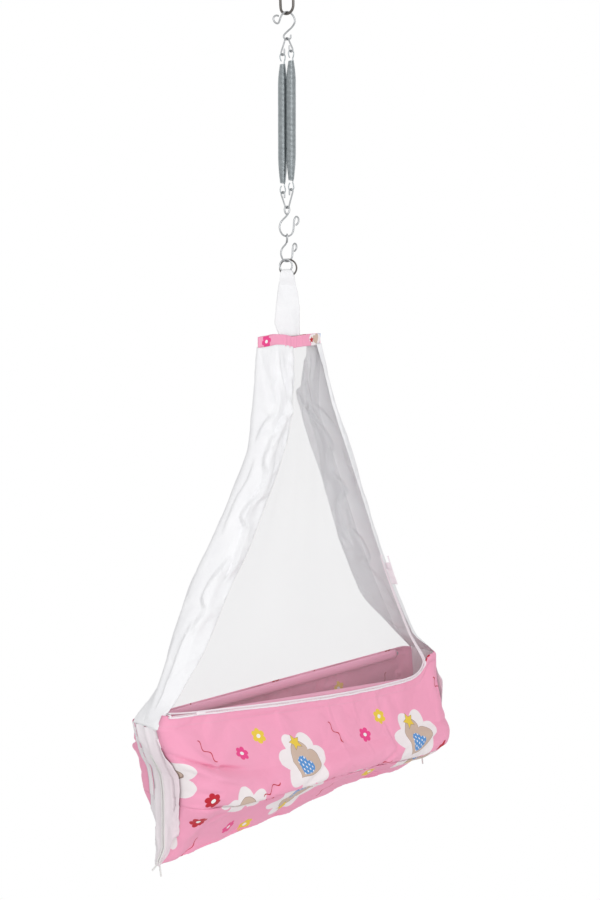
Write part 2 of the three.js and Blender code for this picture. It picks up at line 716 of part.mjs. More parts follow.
// Turns a shape extruded along Z so that it runs from start to end, with its Y kept upright.
function laidAlong(geometry, start, end) {
  const ahead = end.clone().sub(start).normalize();
  const side = new THREE.Vector3(0, 0, 1).cross(ahead).normalize();
  const up = ahead.clone().cross(side);
  const turn = new THREE.Matrix4().makeBasis(side, up, ahead);
  return geometry.applyMatrix4(turn).translate(start.x, start.y, start.z);
}
[["front", -1], ["back", 1]].forEach(([name, side]) => {
  add("rim_hem_" + name, hemSleeve(side), pinkCotton);
  const [start, end] = hemEnds(side);
  const over = end.clone().sub(start).normalize().multiplyScalar(rodOverhang);
  start.sub(over);
  end.add(over);
  const length = start.distanceTo(end);
  const rod = new THREE.CylinderGeometry(rodDiameter * half, rodDiameter * half, length, wireSides);
  rod.rotateX(Math.PI * half).translate(0, 0, length * half);
  add("rim_rod_" + name, laidAlong(rod, start, end), steel);
});

// Zip: two tapes and the teeth between them, along the front rim and up the right edge of the net
const zipStartColumn = 2;
const zipEdgeShare = 0.93;
const zipCornerShares = [[0.85, 1], [0.885, 0.97], [0.91, 0.86], [0.926, 0.7], [0.934, 0.52], [0.933, 0.32]];
function zipPath() {
  const rows = [];
  const straight = columnShares.slice(zipStartColumn).filter((u) => u < zipTurnShare);
  straight.forEach((u) => rows.push([u, frontRim(u)]));
  const low = rim - frontRimEnd;
  const rimFall = frontRimStart + frontRimEnd;
  zipCornerShares.forEach(([u, s]) => rows.push([u, low + (1 - s) * rimFall]));
  const last = low + (1 - zipCornerShares.at(-1)[1]) * rimFall;
  for (let i = 1; i <= zipRiseSteps; i += 1) {
    rows.push([zipEdgeShare, mix(last, rim + zipRise, i / zipRiseSteps)]);
  }
  return rows;
}
// The cloth's outer face on the front at share u and height z, above or below the front rim.
function frontFace(u, z) {
  const top = frontRim(u);
  const netShare = (netTop - z) / (netTop - top);
  const bagShare = (top - z) / (top - crease(u));
  const depth = z >= top ? netHalf(u, netShare) : bagHalfAt(u, bagShare);
  return new THREE.Vector3(acrossAt(u, z), -depth, z);
}
const zipRows = zipPath();
const zipLine = zipRows.map(([u, z]) => frontFace(u, z));
// A flat strip beside the zip's line, between two distances from it, on the outside of the cloth
function zipStrip(from, to, lift, thickness) {
  const count = zipLine.length - 1;
  const spot = (i, away, out) => {
    const before = zipLine[Math.max(0, i - 1)];
    const after = zipLine[Math.min(count, i + 1)];
    const ahead = after.clone().sub(before).setY(0).normalize();
    const side = new THREE.Vector3(-ahead.z, 0, ahead.x);
    const p = zipLine[i].clone().addScaledVector(side, away);
    p.y = Math.min(zipLine[i].y, frontFaceAt(p)) - zipSkin - out;
    return p;
  };
  const outer = (u, v) => spot(Math.round(u * count), mix(to, from, v), lift + thickness);
  const inner = (u, v) => spot(Math.round(u * count), mix(to, from, v), lift);
  return sheet(count, 1, outer, inner);
}
// The front face's y at a point of the strip, from its own x and height.
function frontFaceAt(p) {
  const u = (p.x - leftEdge(p.z)) / (rightEdge(p.z) - leftEdge(p.z));
  return frontFace(u, p.z).y;
}
const teethHalf = zipTeeth * half;
const tapeEdge = teethHalf + clearance;
add("zip_tape_net", zipStrip(tapeEdge, tapeEdge + zipTape, 0, zipTapeThickness), zipPlastic);
add("zip_tape_wall", zipStrip(-tapeEdge - zipTape, -tapeEdge, 0, zipTapeThickness), zipPlastic);
add("zip_teeth", zipStrip(-teethHalf, teethHalf, 0, zipTeethThickness), zipPlastic);

// Slider with its pull, and a stop at each end of the zip
const sliderStartShare = 0.1;
const zipAhead = frontFace(zipTurnShare, frontRim(zipTurnShare))
  .sub(frontFace(sliderStartShare, frontRim(sliderStartShare))).normalize();
function onZip(geometry, u, out, ahead = 0) {
  const start = frontFace(u, frontRim(u));
  const side = new THREE.Vector3(0, 0, 1).cross(zipAhead).normalize();
  const up = zipAhead.clone().cross(side);
  const turn = new THREE.Matrix4().makeBasis(zipAhead, side, up);
  start.y -= zipSkin + zipTeethThickness + out;
  start.addScaledVector(zipAhead, ahead);
  return geometry.applyMatrix4(turn).translate(start.x, start.y, start.z);
}
function plate(length, width, thickness, corner) {
  const shape = new THREE.Shape();
  const l = length * half;
  const w = width * half;
  shape.moveTo(-l + corner, -w);
  shape.lineTo(l - corner, -w);
  shape.lineTo(l, -w + corner);
  shape.lineTo(l, w - corner);
  shape.lineTo(l - corner, w);
  shape.lineTo(-l + corner, w);
  shape.lineTo(-l, w - corner);
  shape.lineTo(-l, -w + corner);
  const geometry = new THREE.ExtrudeGeometry(shape, { depth: thickness, bevelEnabled: false });
  return geometry.rotateX(Math.PI * half).translate(0, thickness * half, 0);
}
const plateCornerShare = 0.25;
const sliderOut = sliderGap + sliderThickness * half;
add("zip_slider", onZip(plate(sliderLength, sliderWidth, sliderThickness, sliderWidth * plateCornerShare),
  sliderStartShare, sliderOut), zipPlastic);
const pullOut = sliderGap + sliderThickness + clearance + pullThickness * half;
add("zip_pull", onZip(plate(pullLength, pullWidth, pullThickness, pullWidth * plateCornerShare),
  sliderStartShare, pullOut, (pullLength - pullWidth) * half), zipPlastic);

function zipStop(index) {
  const p = zipLine[index];
  const reach = teethHalf + clearance + zipTape * half;
  const out = p.y - zipSkin - zipTeethThickness - stopGap;
  const tall = stopLength * half;
  return box(p.x - reach, p.x + reach, out - stopThickness, out, p.z - tall, p.z + tall);
}
add("zip_stop_start", zipStop(0), zipPlastic);
add("zip_stop_end", zipStop(zipLine.length - 1), zipPlastic);

// Mattress: a crowned pad with rounded corners that lies on the shoulders of the bottom panel
const crownShare = 0.3;
const crownPower = 6;
const cornerPower = 9;
function mattress() {
  const lengthwise = (v) => half - half * Math.cos(v * Math.PI);
  const level = crease(half);
  const low = (x) => {
    const u = (x - leftEdge(level)) / (rightEdge(level) - leftEdge(level));
    const inwards = Math.max(0, 1 - (mattressWidth * half) / (bagHalfAt(u, 1) - bagCloth));
    return bottomHeight(u, inwards) + mattressSeat;
  };
  const spot = (a, b, upper) => {
    const s = 2 * a - 1;
    const t = 2 * b - 1;
    const ends = 1 - Math.abs(s) ** crownPower;
    const sides = 1 - Math.abs(t) ** crownPower;
    const rounding = mattressCorner * Math.abs(s) ** cornerPower;
    const x = mattressCentre + s * mattressLength * half;
    const halfWidth = mattressWidth * half - rounding;
    const crown = mattressThickness * mix(1 - crownShare, 1, Math.sqrt(Math.max(0, ends * sides)));
    return new THREE.Vector3(x, t * halfWidth, low(x) + (upper ? crown : 0));
  };
  const face = (upper) => (u, v) => spot(lengthwise(v), u, upper);
  return sheet(mattressRows, mattressColumns, face(true), face(false));
}
add("mattress", mattress(), mattressCover);

// Tie cords: each runs up one end of the bag and back down, with two short loose ends under it
const longTailShares = [[0, -1, 1], [0, -0.6, 0.5]];
const shortTailShares = [[0.4, 1, 0.4], [1.2, 1.8, 0.7]];
function tieCord(end) {
  const out = endCloth + cordSeat + cordDiameter * half;
  const edge = (z) => (end < 0 ? leftEdge(z) : rightEdge(z)) + end * out;
  const run = [];
  for (let i = 0; i <= endRows; i += 1) {
    const z = mix(rim, endBottom, i / endRows);
    if (z < rim - cordTop) run.push(z);
  }
  const points = run.slice().reverse().map((z) => new THREE.Vector3(edge(z), -cordSpread * half, z));
  points.push(new THREE.Vector3(edge(run[0] + cordSpread), 0, run[0] + cordSpread));
  run.forEach((z) => points.push(new THREE.Vector3(edge(z), cordSpread * half, z)));
  const base = edge(endBottom);
  const tail = ([out, across, drop]) => (
    new THREE.Vector3(base + end * cordSpread * out, cordSpread * across, endBottom - cordTail * drop));
  points.unshift(...longTailShares.map(tail));
  points.push(...shortTailShares.map(tail));
  return bentWire(points, cordDiameter);
}
add("tie_cord_left", tieCord(-1), cordCotton);
add("tie_cord_right", tieCord(1), cordCotton);

export default cradle;
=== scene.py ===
# %% [markdown]
# # A hanging baby cradle
# The cradle hangs from one chain link. Below it come a wire hook, two long springs between two wire
# bails, two more hooks, two rings, a cloth strap, a printed band, a net and the padded bag.
# The solid parts come packed, at their real size. This lesson gives each of them its finish, winds
# the springs and sews the cloth around them. Everything is in metres, with Z up.

# %% Load the fixed frame
import math

import bmesh
import bpy
from mathutils import Matrix, Vector, noise
from mathutils.bvhtree import BVHTree


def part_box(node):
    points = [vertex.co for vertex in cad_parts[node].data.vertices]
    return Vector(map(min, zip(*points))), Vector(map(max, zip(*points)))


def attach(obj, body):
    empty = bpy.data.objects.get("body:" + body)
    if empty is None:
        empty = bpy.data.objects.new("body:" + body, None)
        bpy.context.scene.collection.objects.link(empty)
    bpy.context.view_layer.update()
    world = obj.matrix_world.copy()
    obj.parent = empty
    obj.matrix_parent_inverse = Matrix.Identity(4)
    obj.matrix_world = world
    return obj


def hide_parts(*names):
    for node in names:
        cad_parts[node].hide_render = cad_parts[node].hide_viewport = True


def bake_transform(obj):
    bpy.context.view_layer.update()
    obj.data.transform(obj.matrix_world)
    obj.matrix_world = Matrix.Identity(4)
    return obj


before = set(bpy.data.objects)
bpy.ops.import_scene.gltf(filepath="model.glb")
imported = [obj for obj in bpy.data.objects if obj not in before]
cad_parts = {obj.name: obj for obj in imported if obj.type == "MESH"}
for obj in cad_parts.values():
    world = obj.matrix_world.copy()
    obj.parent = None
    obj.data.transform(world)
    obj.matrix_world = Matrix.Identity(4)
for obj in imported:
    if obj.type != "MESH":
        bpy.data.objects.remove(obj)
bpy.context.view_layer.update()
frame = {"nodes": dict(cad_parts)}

nodes = frame["nodes"]

# %% [markdown]
# ## Camera
# The photograph was taken from a little above the bag, and about 44 degrees round from its front.
# The camera could be aimed with a constraint, but a fixed place and turn are simpler to read, and
# they stay as they are when the object moves.

# %% Camera
millimetre = 0.001
look_turn = math.radians(44)
look_dip = math.radians(7.595)
camera_distance = 2.855
camera_aside = 0.0244
camera_height = -0.48
lens_length = 60

ahead = Vector((math.sin(look_turn), math.cos(look_turn), 0))
aside = Vector((math.cos(look_turn), -math.sin(look_turn), 0))
camera_data = bpy.data.cameras.new("camera")
camera_data.lens = lens_length
camera = bpy.data.objects.new("camera", camera_data)
camera.location = aside * camera_aside - ahead * camera_distance + Vector((0, 0, camera_height))
camera.rotation_euler = (math.radians(90) - look_dip, 0, -look_turn)
bpy.context.collection.objects.link(camera)
bpy.context.scene.camera = camera
bpy.context.scene.view_settings.view_transform = "Standard"
print("camera at", [round(x, 3) for x in camera.location])

# %% [markdown]
# ## Shader maths
# A pattern is worked out from the place on the cloth. Node trees for that are long when every node
# is set by hand, so one small class lets a socket be added, multiplied and compared in plain Python.
# A second one adds every node by its type, and a finish holds one material and its Principled shader.

# %% A socket that takes part in sums
class Level:
    """One output socket and the tree that it is in, for use in ordinary arithmetic."""

    def __init__(self, home, socket):
        self.home = home
        self.socket = socket

    def maths(self, operation, *others, clamp=False):
        return self.home.maths(operation, self, *others, clamp=clamp)

    def __add__(self, other):
        return self.maths("ADD", other)

    def __sub__(self, other):
        return self.maths("SUBTRACT", other)

    def __rsub__(self, other):
        return self.home.maths("SUBTRACT", other, self)

    def __mul__(self, other):
        return self.maths("MULTIPLY", other)

    def __truediv__(self, other):
        return self.maths("DIVIDE", other)

    __radd__ = __add__
    __rmul__ = __mul__


class Nodes:
    """An emptied node tree, with the one method that adds its nodes."""

    def __init__(self, owner, output_kind):
        owner.use_nodes = True
        self.tree = owner.node_tree
        self.tree.nodes.clear()
        self.surface = self.tree.nodes.new(output_kind).inputs["Surface"]

    def put(self, socket, value):
        if isinstance(value, Level):
            self.tree.links.new(value.socket, socket)
        else:
            socket.default_value = (*value, 1) if socket.type == "RGBA" and len(value) == 3 else value

    def node(self, kind, settings=None, inputs=None, output=0):
        made = self.tree.nodes.new(kind)
        for name, value in (settings or {}).items():
            setattr(made, name, value)
        for name, value in (inputs or {}).items():
            self.put(made.inputs[name], value)
        return Level(self, made.outputs[output])

    def maths(self, operation, *terms, clamp=False):
        return self.node("ShaderNodeMath", {"operation": operation, "use_clamp": clamp},
                         dict(enumerate(terms)))


class Finish(Nodes):
    """A material with one Principled shader."""

    def __init__(self, name, **fixed):
        self.material = bpy.data.materials.new(name)
        super().__init__(self.material, "ShaderNodeOutputMaterial")
        self.lit = self.node("ShaderNodeBsdfPrincipled")
        self.put(self.surface, self.lit)
        self.set(**fixed)

    def set(self, **levels):
        for name, value in levels.items():
            self.put(self.lit.socket.node.inputs[name.replace("_", " ")], value)

    def solid_place(self):
        return self.node("ShaderNodeTexCoord", None, None, "Object")

    def first_two(self, place):
        return [self.node("ShaderNodeSeparateXYZ", None, {0: place}, k) for k in range(2)]

    def flat_place(self):
        """The two directions along the cloth, in metres."""
        return self.first_two(self.node("ShaderNodeUVMap", {"uv_map": "UVMap"}))

    def grain(self, scale, detail=2):
        """Soft random variation between 0 and 1, with that many waves in a metre."""
        return self.node("ShaderNodeTexNoise", None, {
            "Vector": self.solid_place(), "Scale": scale, "Detail": detail})

    def tint(self, base, other, mask):
        return self.node("ShaderNodeMix", {"data_type": "RGBA"}, {"Factor": mask, 6: base, 7: other}, 2)

    def bump(self, height, distance, strength):
        self.set(Normal=self.node("ShaderNodeBump", None, {
            "Height": height, "Distance": distance, "Strength": strength}))

print("the shader helpers are ready")

# %% [markdown]
# ## Metal
# The hooks and bails are drawn steel wire with bright zinc on it. Fine scratches run in all
# directions, and the zinc is a little duller in patches. Painting wear by hand isn't needed, because
# two scales of noise give both. The link and the larger ring are plain steel gone brown with age.

# %% Metal finishes
scratches = 2400.0
scratch_depth = 0.12 * millimetre

def metal(name, colour, dull_colour, roughness, patches=90.0):
    finish = Finish(name, Metallic=1.0)
    cloudy = finish.grain(patches, detail=4)
    fine = finish.grain(scratches, detail=3)
    finish.set(Base_Color=finish.tint(colour, dull_colour, cloudy), Roughness=cloudy * 0.18 + roughness)
    finish.bump(fine + cloudy * 0.5, scratch_depth, 0.6)
    return finish.material

bright_steel = metal("zinc plated wire", (0.5, 0.51, 0.52), (0.33, 0.34, 0.35), 0.2)
dark_steel = metal("worn steel", (0.2, 0.19, 0.18), (0.07, 0.06, 0.055), 0.3)
spring_steel = metal("galvanised spring wire", (0.46, 0.495, 0.51), (0.3, 0.33, 0.34), 0.24, 140.0)
print("metal finishes made")

# %% [markdown]
# ## White cloth
# Plain white cotton shows its weave only from close by. A wave along each direction of the cloth
# gives the threads, and slow noise gives the faint creasing that ironing leaves behind.

# %% White cotton and cord
cotton_pitch = 0.9 * millimetre
fine_pitch = 0.6 * millimetre
crease_depth = 1.2 * millimetre

def weave(across, along, pitch):
    """Height of threads that go over and under each other, from -1 to 1."""
    turn = 2 * math.pi / pitch
    return (across * turn).maths("SINE") * (along * turn).maths("SINE")

def cotton(name, pitch=cotton_pitch):
    """White cloth with its threads and soft creases, before it gets a colour."""
    finish = Finish(name, Roughness=0.92, Sheen_Weight=0.15)
    place = finish.flat_place()
    finish.bump(weave(*place, pitch) * 0.12 + finish.grain(60.0, detail=5), crease_depth, 0.35)
    return finish, place

def white_cloth(name, colour, shade, pitch=cotton_pitch):
    finish = cotton(name, pitch)[0]
    finish.set(Base_Color=finish.tint(colour, shade, finish.grain(28.0, detail=4)))
    return finish.material

def strip_cloth_painted_light(name):
    """White cotton with painted light: below the rim, pink for light through it from the wall, grey for shade
    at the back.
    """
    finish, (across, along) = cotton(name)
    # painted light and shade below the rim: pink light through the cloth on the front half, grey shade on the
    # back half
    low = 1 - (along / strip_height - strip_painted_light_fade_start).maths("MULTIPLY", 1 / (1 - strip_painted_light_fade_start), clamp=True)
    painted_light_colour = finish.tint(strip_back_painted_shade, strip_front_painted_pink_light, (across / strip_width).maths("MULTIPLY", 1.0, clamp=True))
    finish.set(Base_Color=finish.tint(strip_rim, painted_light_colour, low))
    return finish.material

strip_width = 0.088
strip_height = 0.28
# share of the strip's height below which the painted light and shade are at full strength
strip_painted_light_fade_start = 0.72
# painted colours of the strip: pink for light through it at the front, grey for shade at the back, paler
# towards the rim
strip_front_painted_pink_light = (0.87, 0.735, 0.785)
strip_back_painted_shade = (0.8, 0.77, 0.785)
strip_rim = (0.93, 0.88, 0.905)
white_cotton = white_cloth("white cotton", (0.93, 0.93, 0.935), (0.86, 0.86, 0.88))
# white cotton with painted pink light and painted grey shade below the rim
strip_cotton_painted_light = strip_cloth_painted_light("strip cotton with painted light")
zip_tape = white_cloth("zip tape", (0.95, 0.86, 0.9), (0.9, 0.8, 0.85), fine_pitch)
tie_cotton = white_cloth("cotton cord", (0.86, 0.85, 0.83), (0.74, 0.73, 0.71), fine_pitch)
print("white cloth finishes made")

# %% [markdown]
# ## Net
# Mosquito net is mostly holes. Modelling each thread would take millions of faces, so the mesh is an
# alpha pattern: the middle of each square is almost clear, and the alpha rises to the threads round it.

# %% Net finish
net_pitch = 1.2 * millimetre
# how much a hole hides, and how much more a thread does
net_haze = 0.11
net_contrast = 0.085
net_white = (0.68, 0.672, 0.69)
net_shade = (0.6, 0.59, 0.612)

def net_finish():
    finish = Finish("mosquito net", Roughness=0.9)
    across, along = finish.flat_place()
    # for each direction, 1 on a thread and 0 halfway to the next
    threads = [1 - (way / net_pitch).maths("PINGPONG", 0.5).maths("MULTIPLY", 2) for way in (across, along)]
    solid = threads[0].maths("MAXIMUM", threads[1]) * net_contrast + net_haze
    cloudy = finish.grain(6.0, detail=3)
    finish.set(Base_Color=finish.tint(net_white, net_shade, cloudy), Alpha=solid)
    return finish.material

net_mesh = net_finish()
print("net finish made")

# %% [markdown]
# ## Printed cotton
# The pink cloth has a repeating print: pale scalloped patches with hearts and stars on them, small
# flowers between the patches, and thin wavy lines. A picture could be mapped on, but shapes worked
# out from distances stay sharp at any size. The print repeats in a tile, as it does on a roller.

# %% Print helpers
tile_width = 0.34
tile_height = 0.3
edge_blur = 0.6 * millimetre
print_pitch = 0.8 * millimetre
print_crease = 1.4 * millimetre
pink = (0.93, 0.4, 0.565)
pink_shade = (0.9, 0.345, 0.51)

class Print(Finish):
    """A finish on which shapes are stamped, each at its place in the tile."""

    def __init__(self, name):
        super().__init__(name, Roughness=0.88, Sheen_Weight=0.1)
        self.across, self.along = self.flat_place()
        self.colour = self.tint(pink, pink_shade, self.grain(11.0, detail=4))

    def around(self, spot, turn):
        """Distances from the nearest copy of a spot, turned by an angle in degrees."""
        x = (self.across - spot[0]).maths("WRAP", tile_width / 2, -tile_width / 2)
        y = (self.along - spot[1]).maths("WRAP", tile_height / 2, -tile_height / 2)
        c, s = math.cos(math.radians(turn)), math.sin(math.radians(turn))
        return x * c + y * s, y * c - x * s

    def round(self, x, y):
        return (x * x + y * y).maths("SQRT")

    def inside(self, distance):
        """1 where the distance is under zero, with a soft edge."""
        return self.maths("MULTIPLY_ADD", distance, -1 / edge_blur, 0.5, clamp=True)

    def stamp(self, colour, mask, strength=1.0):
        self.colour = self.tint(self.colour, colour, mask * strength if strength < 1 else mask)

    def draw(self, colour, distance, strength=1.0):
        self.stamp(colour, self.inside(distance), strength)

    def petals(self, x, y, reach, count, depth):
        """Distance from a round shape with that many rounded lobes."""
        lobe = (y.maths("ARCTAN2", x) * (count / 2)).maths("COSINE").maths("ABSOLUTE")
        return self.round(x, y) - (lobe * (reach * depth) + reach * (1 - depth))

    def separate_petals(self, x, y, reach, count=6):
        """Distance from a ring of round petals that just touch."""
        turn = y.maths("ARCTAN2", x).maths("WRAP", math.pi / count, -math.pi / count)
        far = self.round(x, y)
        return self.round(far * turn.maths("COSINE") - reach * 0.64, far * turn.maths("SINE")) - reach * 0.35

    def heart(self, x, y, reach):
        raised = y * 1.15 - (x.maths("ABSOLUTE") * reach).maths("SQRT") * 0.62
        return self.round(x, raised) - reach

    def star(self, x, y, reach, waist=0.5):
        point = math.pi / 5
        turn = y.maths("ARCTAN2", x).maths("PINGPONG", point)
        far = self.round(x, y)
        run_x, run_y = reach - reach * waist * math.cos(point), reach * waist * math.sin(point)
        length = math.hypot(run_x, run_y)
        side_x, side_y = run_y / length, run_x / length
        return far * (turn.maths("COSINE") * side_x + turn.maths("SINE") * side_y) - reach * side_x

    def dots(self, x, y, pitch, reach):
        x = (x + y * 0.5).maths("WRAP", pitch / 2, -pitch / 2)
        y = y.maths("WRAP", pitch / 2, -pitch / 2)
        return self.round(x, y) - reach

    def done(self):
        """Gives the shader the print and a weave, and returns the material."""
        self.set(Base_Color=self.colour)
        threads = weave(self.across, self.along, print_pitch)
        self.bump(threads * 0.1 + self.grain(45.0, detail=5), print_crease, 0.35)
        return self.material

print("print helpers are ready, one tile is", tile_width, "by", tile_height, "m")

# %% Printed cotton
patch_white = (0.9, 0.885, 0.875)
beige = (0.62, 0.47, 0.38)
dark_beige = (0.3, 0.2, 0.16)
red = (0.52, 0.012, 0.03)
blue = (0.1, 0.3, 0.66)
yellow = (0.85, 0.6, 0.06)
magenta = (0.83, 0.06, 0.26)

def flower(print_, spot, colour, reach, turn):
    x, y = print_.around(spot, turn)
    print_.draw(colour, print_.separate_petals(x, y, reach))
    print_.draw(colour, print_.round(x, y) - reach * 0.45)
    print_.draw(patch_white, print_.round(x * 0.8, y) - reach * 0.24)

def squiggle(print_, spot, turn, length=0.05, swing=0.0055, pen=0.0014):
    x, y = print_.around(spot, turn)
    line = (y - (x * (3.6 * math.pi / length)).maths("SINE") * swing).maths("ABSOLUTE") - pen
    ends = x.maths("ABSOLUTE") - length / 2
    print_.draw(red, line.maths("MAXIMUM", ends))

# sizes on a patch: its own reach, its hearts' and its star's, and the dots' pitch and reach
patch_reach = 0.066
heart_reach = 0.038
heart_drop = 0.006
inner_reach = 0.02
inner_drop = 0.012
inner_aside = 0.004
star_reach = 0.0165
star_off = 0.03
dot_pitch = 0.0085
dot_reach = 0.0019
heart_pen = 0.001
star_pen = 0.0008

def patch(print_, spot, turn, inner, badge):
    x, y = print_.around(spot, turn)
    print_.draw(patch_white, print_.petals(x, y, patch_reach, 7, 0.26), 0.9)
    big = print_.heart(x, y + heart_drop, heart_reach)
    print_.draw(dark_beige, big - heart_pen)
    print_.draw(beige, big)
    small = print_.heart(x - inner_aside, y + inner_drop, inner_reach)
    print_.draw(inner, small)
    print_.draw(patch_white, print_.dots(x, y, dot_pitch, dot_reach).maths("MAXIMUM", small))
    star = print_.star(x + star_off, y - star_off, star_reach)
    print_.draw(dark_beige, star - star_pen)
    print_.draw(badge, star)

# each shape's place in the tile, in metres, then its colours, reach and turn
patch_rows = [((0.14, 0.09), 62, red, blue), ((0.3, 0.19), -38, blue, yellow)]
flower_rows = [
    ((0.225, 0.075), magenta, 0.0165, 10), ((0.04, 0.13), red, 0.016, 40),
    ((0.215, 0.255), yellow, 0.0165, 25), ((0.06, 0.025), red, 0.0155, 0),
    ((0.155, 0.225), magenta, 0.0155, 5),
]
squiggle_rows = [((0.195, 0.145), 35), ((0.075, 0.24), -60), ((0.29, 0.035), 100)]

def printed_finish():
    finish = Print("printed cotton")
    for row in patch_rows:
        patch(finish, *row)
    for row in flower_rows:
        flower(finish, *row)
    for row in squiggle_rows:
        squiggle(finish, *row)
    # the hem's row of stitches, with painted shade along the line that its thread pulls into the cloth
    off = (finish.along - stitch_line).maths("ABSOLUTE")
    gap = (finish.across / stitch_pitch).maths("PINGPONG", 0.5).maths("GREATER_THAN", 0.14)
    finish.draw(stitch_painted_shade, off - stitch_pen * 2, 0.5)
    finish.stamp(stitch_pink, finish.inside(off - stitch_pen) * gap)
    return finish.done()

band_patch_spots = [(0.155, 0.01), (0.235, 0.02)]
band_patch_reach = 0.022
band_heart_reach = 0.01
band_star_reach = 0.007
band_star_off = (0.013, 0.006)
band_flower_rows = [
    ((0.022, 0.012), magenta, 0.0135, 10), ((0.176, 0.02), blue, 0.006, 0), ((0.3, 0.006), yellow, 0.0095, 0),
]

def band_finish():
    """The same cloth cut narrow, with what the cut left of the print."""
    finish = Print("band cotton")
    flower(finish, *band_flower_rows[0])
    for spot in band_patch_spots:
        x, y = finish.around(spot, 20)
        finish.draw(patch_white, finish.petals(x, y, band_patch_reach, 5, 0.3), 0.9)
        finish.draw(beige, finish.heart(x, y, band_heart_reach))
        finish.draw(red, finish.star(x + band_star_off[0], y - band_star_off[1], band_star_reach))
    for row in band_flower_rows[1:]:
        flower(finish, *row)
    return finish.done()

stitch_line = 0.2955
stitch_pitch = 3.4 * millimetre
stitch_pen = 0.35 * millimetre
# painted shade in the groove along the stitch line
stitch_painted_shade = (0.72, 0.22, 0.36)
stitch_pink = (0.95, 0.55, 0.68)
printed_cotton = printed_finish()
band_cotton = band_finish()
print("printed cotton has", len(printed_cotton.node_tree.nodes), "nodes")

# %% [markdown]
# ## Zip, wood and mattress cover
# These are small or mostly hidden, and each gets the one detail that shows: a sheen on the nylon,
# growth rings in the lath and soft mottling on the mattress cover.

# %% Other finishes
nylon_depth = 0.2 * millimetre
ring_depth = 0.3 * millimetre
cover_depth = 1.5 * millimetre

def nylon_finish():
    finish = Finish("zip nylon", Roughness=0.38)
    finish.set(Base_Color=finish.tint((0.95, 0.87, 0.9), (0.9, 0.82, 0.86), finish.grain(200.0)))
    finish.bump(finish.grain(1500.0), nylon_depth, 0.3)
    return finish.material

def lath_finish():
    finish = Finish("planed lath", Roughness=0.6)
    rings = finish.node("ShaderNodeTexWave", {"bands_direction": "Z"}, {
        "Vector": finish.solid_place(), "Scale": 160.0, "Distortion": 6.0, "Detail": 3.0})
    finish.set(Base_Color=finish.tint((0.62, 0.44, 0.25), (0.45, 0.29, 0.15), rings))
    finish.bump(rings, ring_depth, 0.4)
    return finish.material

def mattress_finish():
    finish = Finish("mattress cover", Roughness=0.9, Sheen_Weight=0.15)
    finish.set(Base_Color=finish.tint((0.93, 0.44, 0.6), (0.88, 0.37, 0.53), finish.grain(18.0, detail=4)))
    finish.bump(finish.grain(900.0) * 0.3 + finish.grain(50.0, detail=4), cover_depth, 0.4)
    return finish.material

zip_nylon = nylon_finish()
lath_wood = lath_finish()
mattress_cover = mattress_finish()
print("other finishes made")

# %% [markdown]
# ## Bent wire
# The hooks, bails, link and rings have eight sides in the frame. Building them again from curves
# would risk moving them, so each copy keeps its path: its loose triangles are merged into quads, its
# points go outwards by what rounding takes away, and a Subdivision Surface makes it round.

# %% Round the wires
def place_piece(piece, finish, slot, body, *stands_for):
    """Gives a finished piece its material and its body, and hides the nodes that it stands for. The slot is
    not used.
    """
    piece.data.materials.clear()
    piece.data.materials.append(finish)
    piece.data.shade_smooth()
    if stands_for:
        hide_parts(*stands_for)
    if body:
        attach(piece, body)
    return piece

def add_modifier(piece, kind, **settings):
    made = piece.modifiers.new(kind.title(), kind)
    for name, value in settings.items():
        setattr(made, name, value)
    return made

def object_from(name, bm):
    mesh = bpy.data.meshes.new(name)
    bm.to_mesh(mesh)
    bm.free()
    piece = bpy.data.objects.new(name, mesh)
    bpy.context.collection.objects.link(piece)
    return piece

merge_distance = 1e-6
octagon_shrink = 2 / 3 + math.cos(math.radians(45)) / 3

def rounded(node, diameter):
    bm = bmesh.new()
    bm.from_mesh(nodes[node].data)
    bmesh.ops.remove_doubles(bm, verts=bm.verts, dist=merge_distance)
    bmesh.ops.join_triangles(bm, faces=bm.faces, angle_face_threshold=math.pi,
                             angle_shape_threshold=math.pi)
    bm.normal_update()
    out = diameter / 2 * (1 / octagon_shrink - 1)
    for vert in bm.verts:
        vert.co += vert.normal * out
    piece = object_from(node + "_round", bm)
    add_modifier(piece, "SUBSURF", levels=2, render_levels=2)
    return piece

wires = [
    ("chain_link", 5.0, dark_steel, "dark_steel", "link"),
    ("upper_hook", 3.4, bright_steel, "bright_steel", "top_hook"),
    ("upper_bail", 3.0, bright_steel, "bright_steel", "springs"),
    ("lower_bail", 3.0, bright_steel, "bright_steel", "bottom_bail"),
    ("swivel_hook", 3.4, bright_steel, "bright_steel", "middle_hook"),
    ("ring_hook", 3.4, bright_steel, "bright_steel", "bottom_hook"),
    ("large_ring", 3.2, dark_steel, "dark_steel", "rings"),
    ("small_ring", 3.2, bright_steel, "bright_steel", "rings"),
]
for node, diameter, finish, slot, body in wires:
    piece = rounded(node, diameter * millimetre)
    place_piece(piece, finish, slot, body, node)
    print(node, "has", len(piece.data.polygons), "faces before rounding")

# %% [markdown]
# ## Springs
# The real springs are wound so tightly that their turns touch. A curve with a round bevel follows
# one unbroken path through the upper eye, almost a hundred turns and the lower eye, and becomes a mesh.

# %% Springs
spring_wire = 2.2 * millimetre
spring_width = 18 * millimetre
spring_neck = 4.2 * millimetre
spring_eye_width = 13.6 * millimetre
spring_eye_height = 17 * millimetre
spring_tapers = (38 * millimetre, 50 * millimetre)
spring_turn = math.radians(-12)
turn_steps = 24
turn_pitch = 1.015
spring_eye_shares = [
    (-0.5, -0.82), (-0.9, -0.58), (-1, -0.31), (-0.72, -0.09), (0, 0), (0.72, -0.09), (1, -0.31),
    (0.85, -0.62), (0.62, -0.88),
]

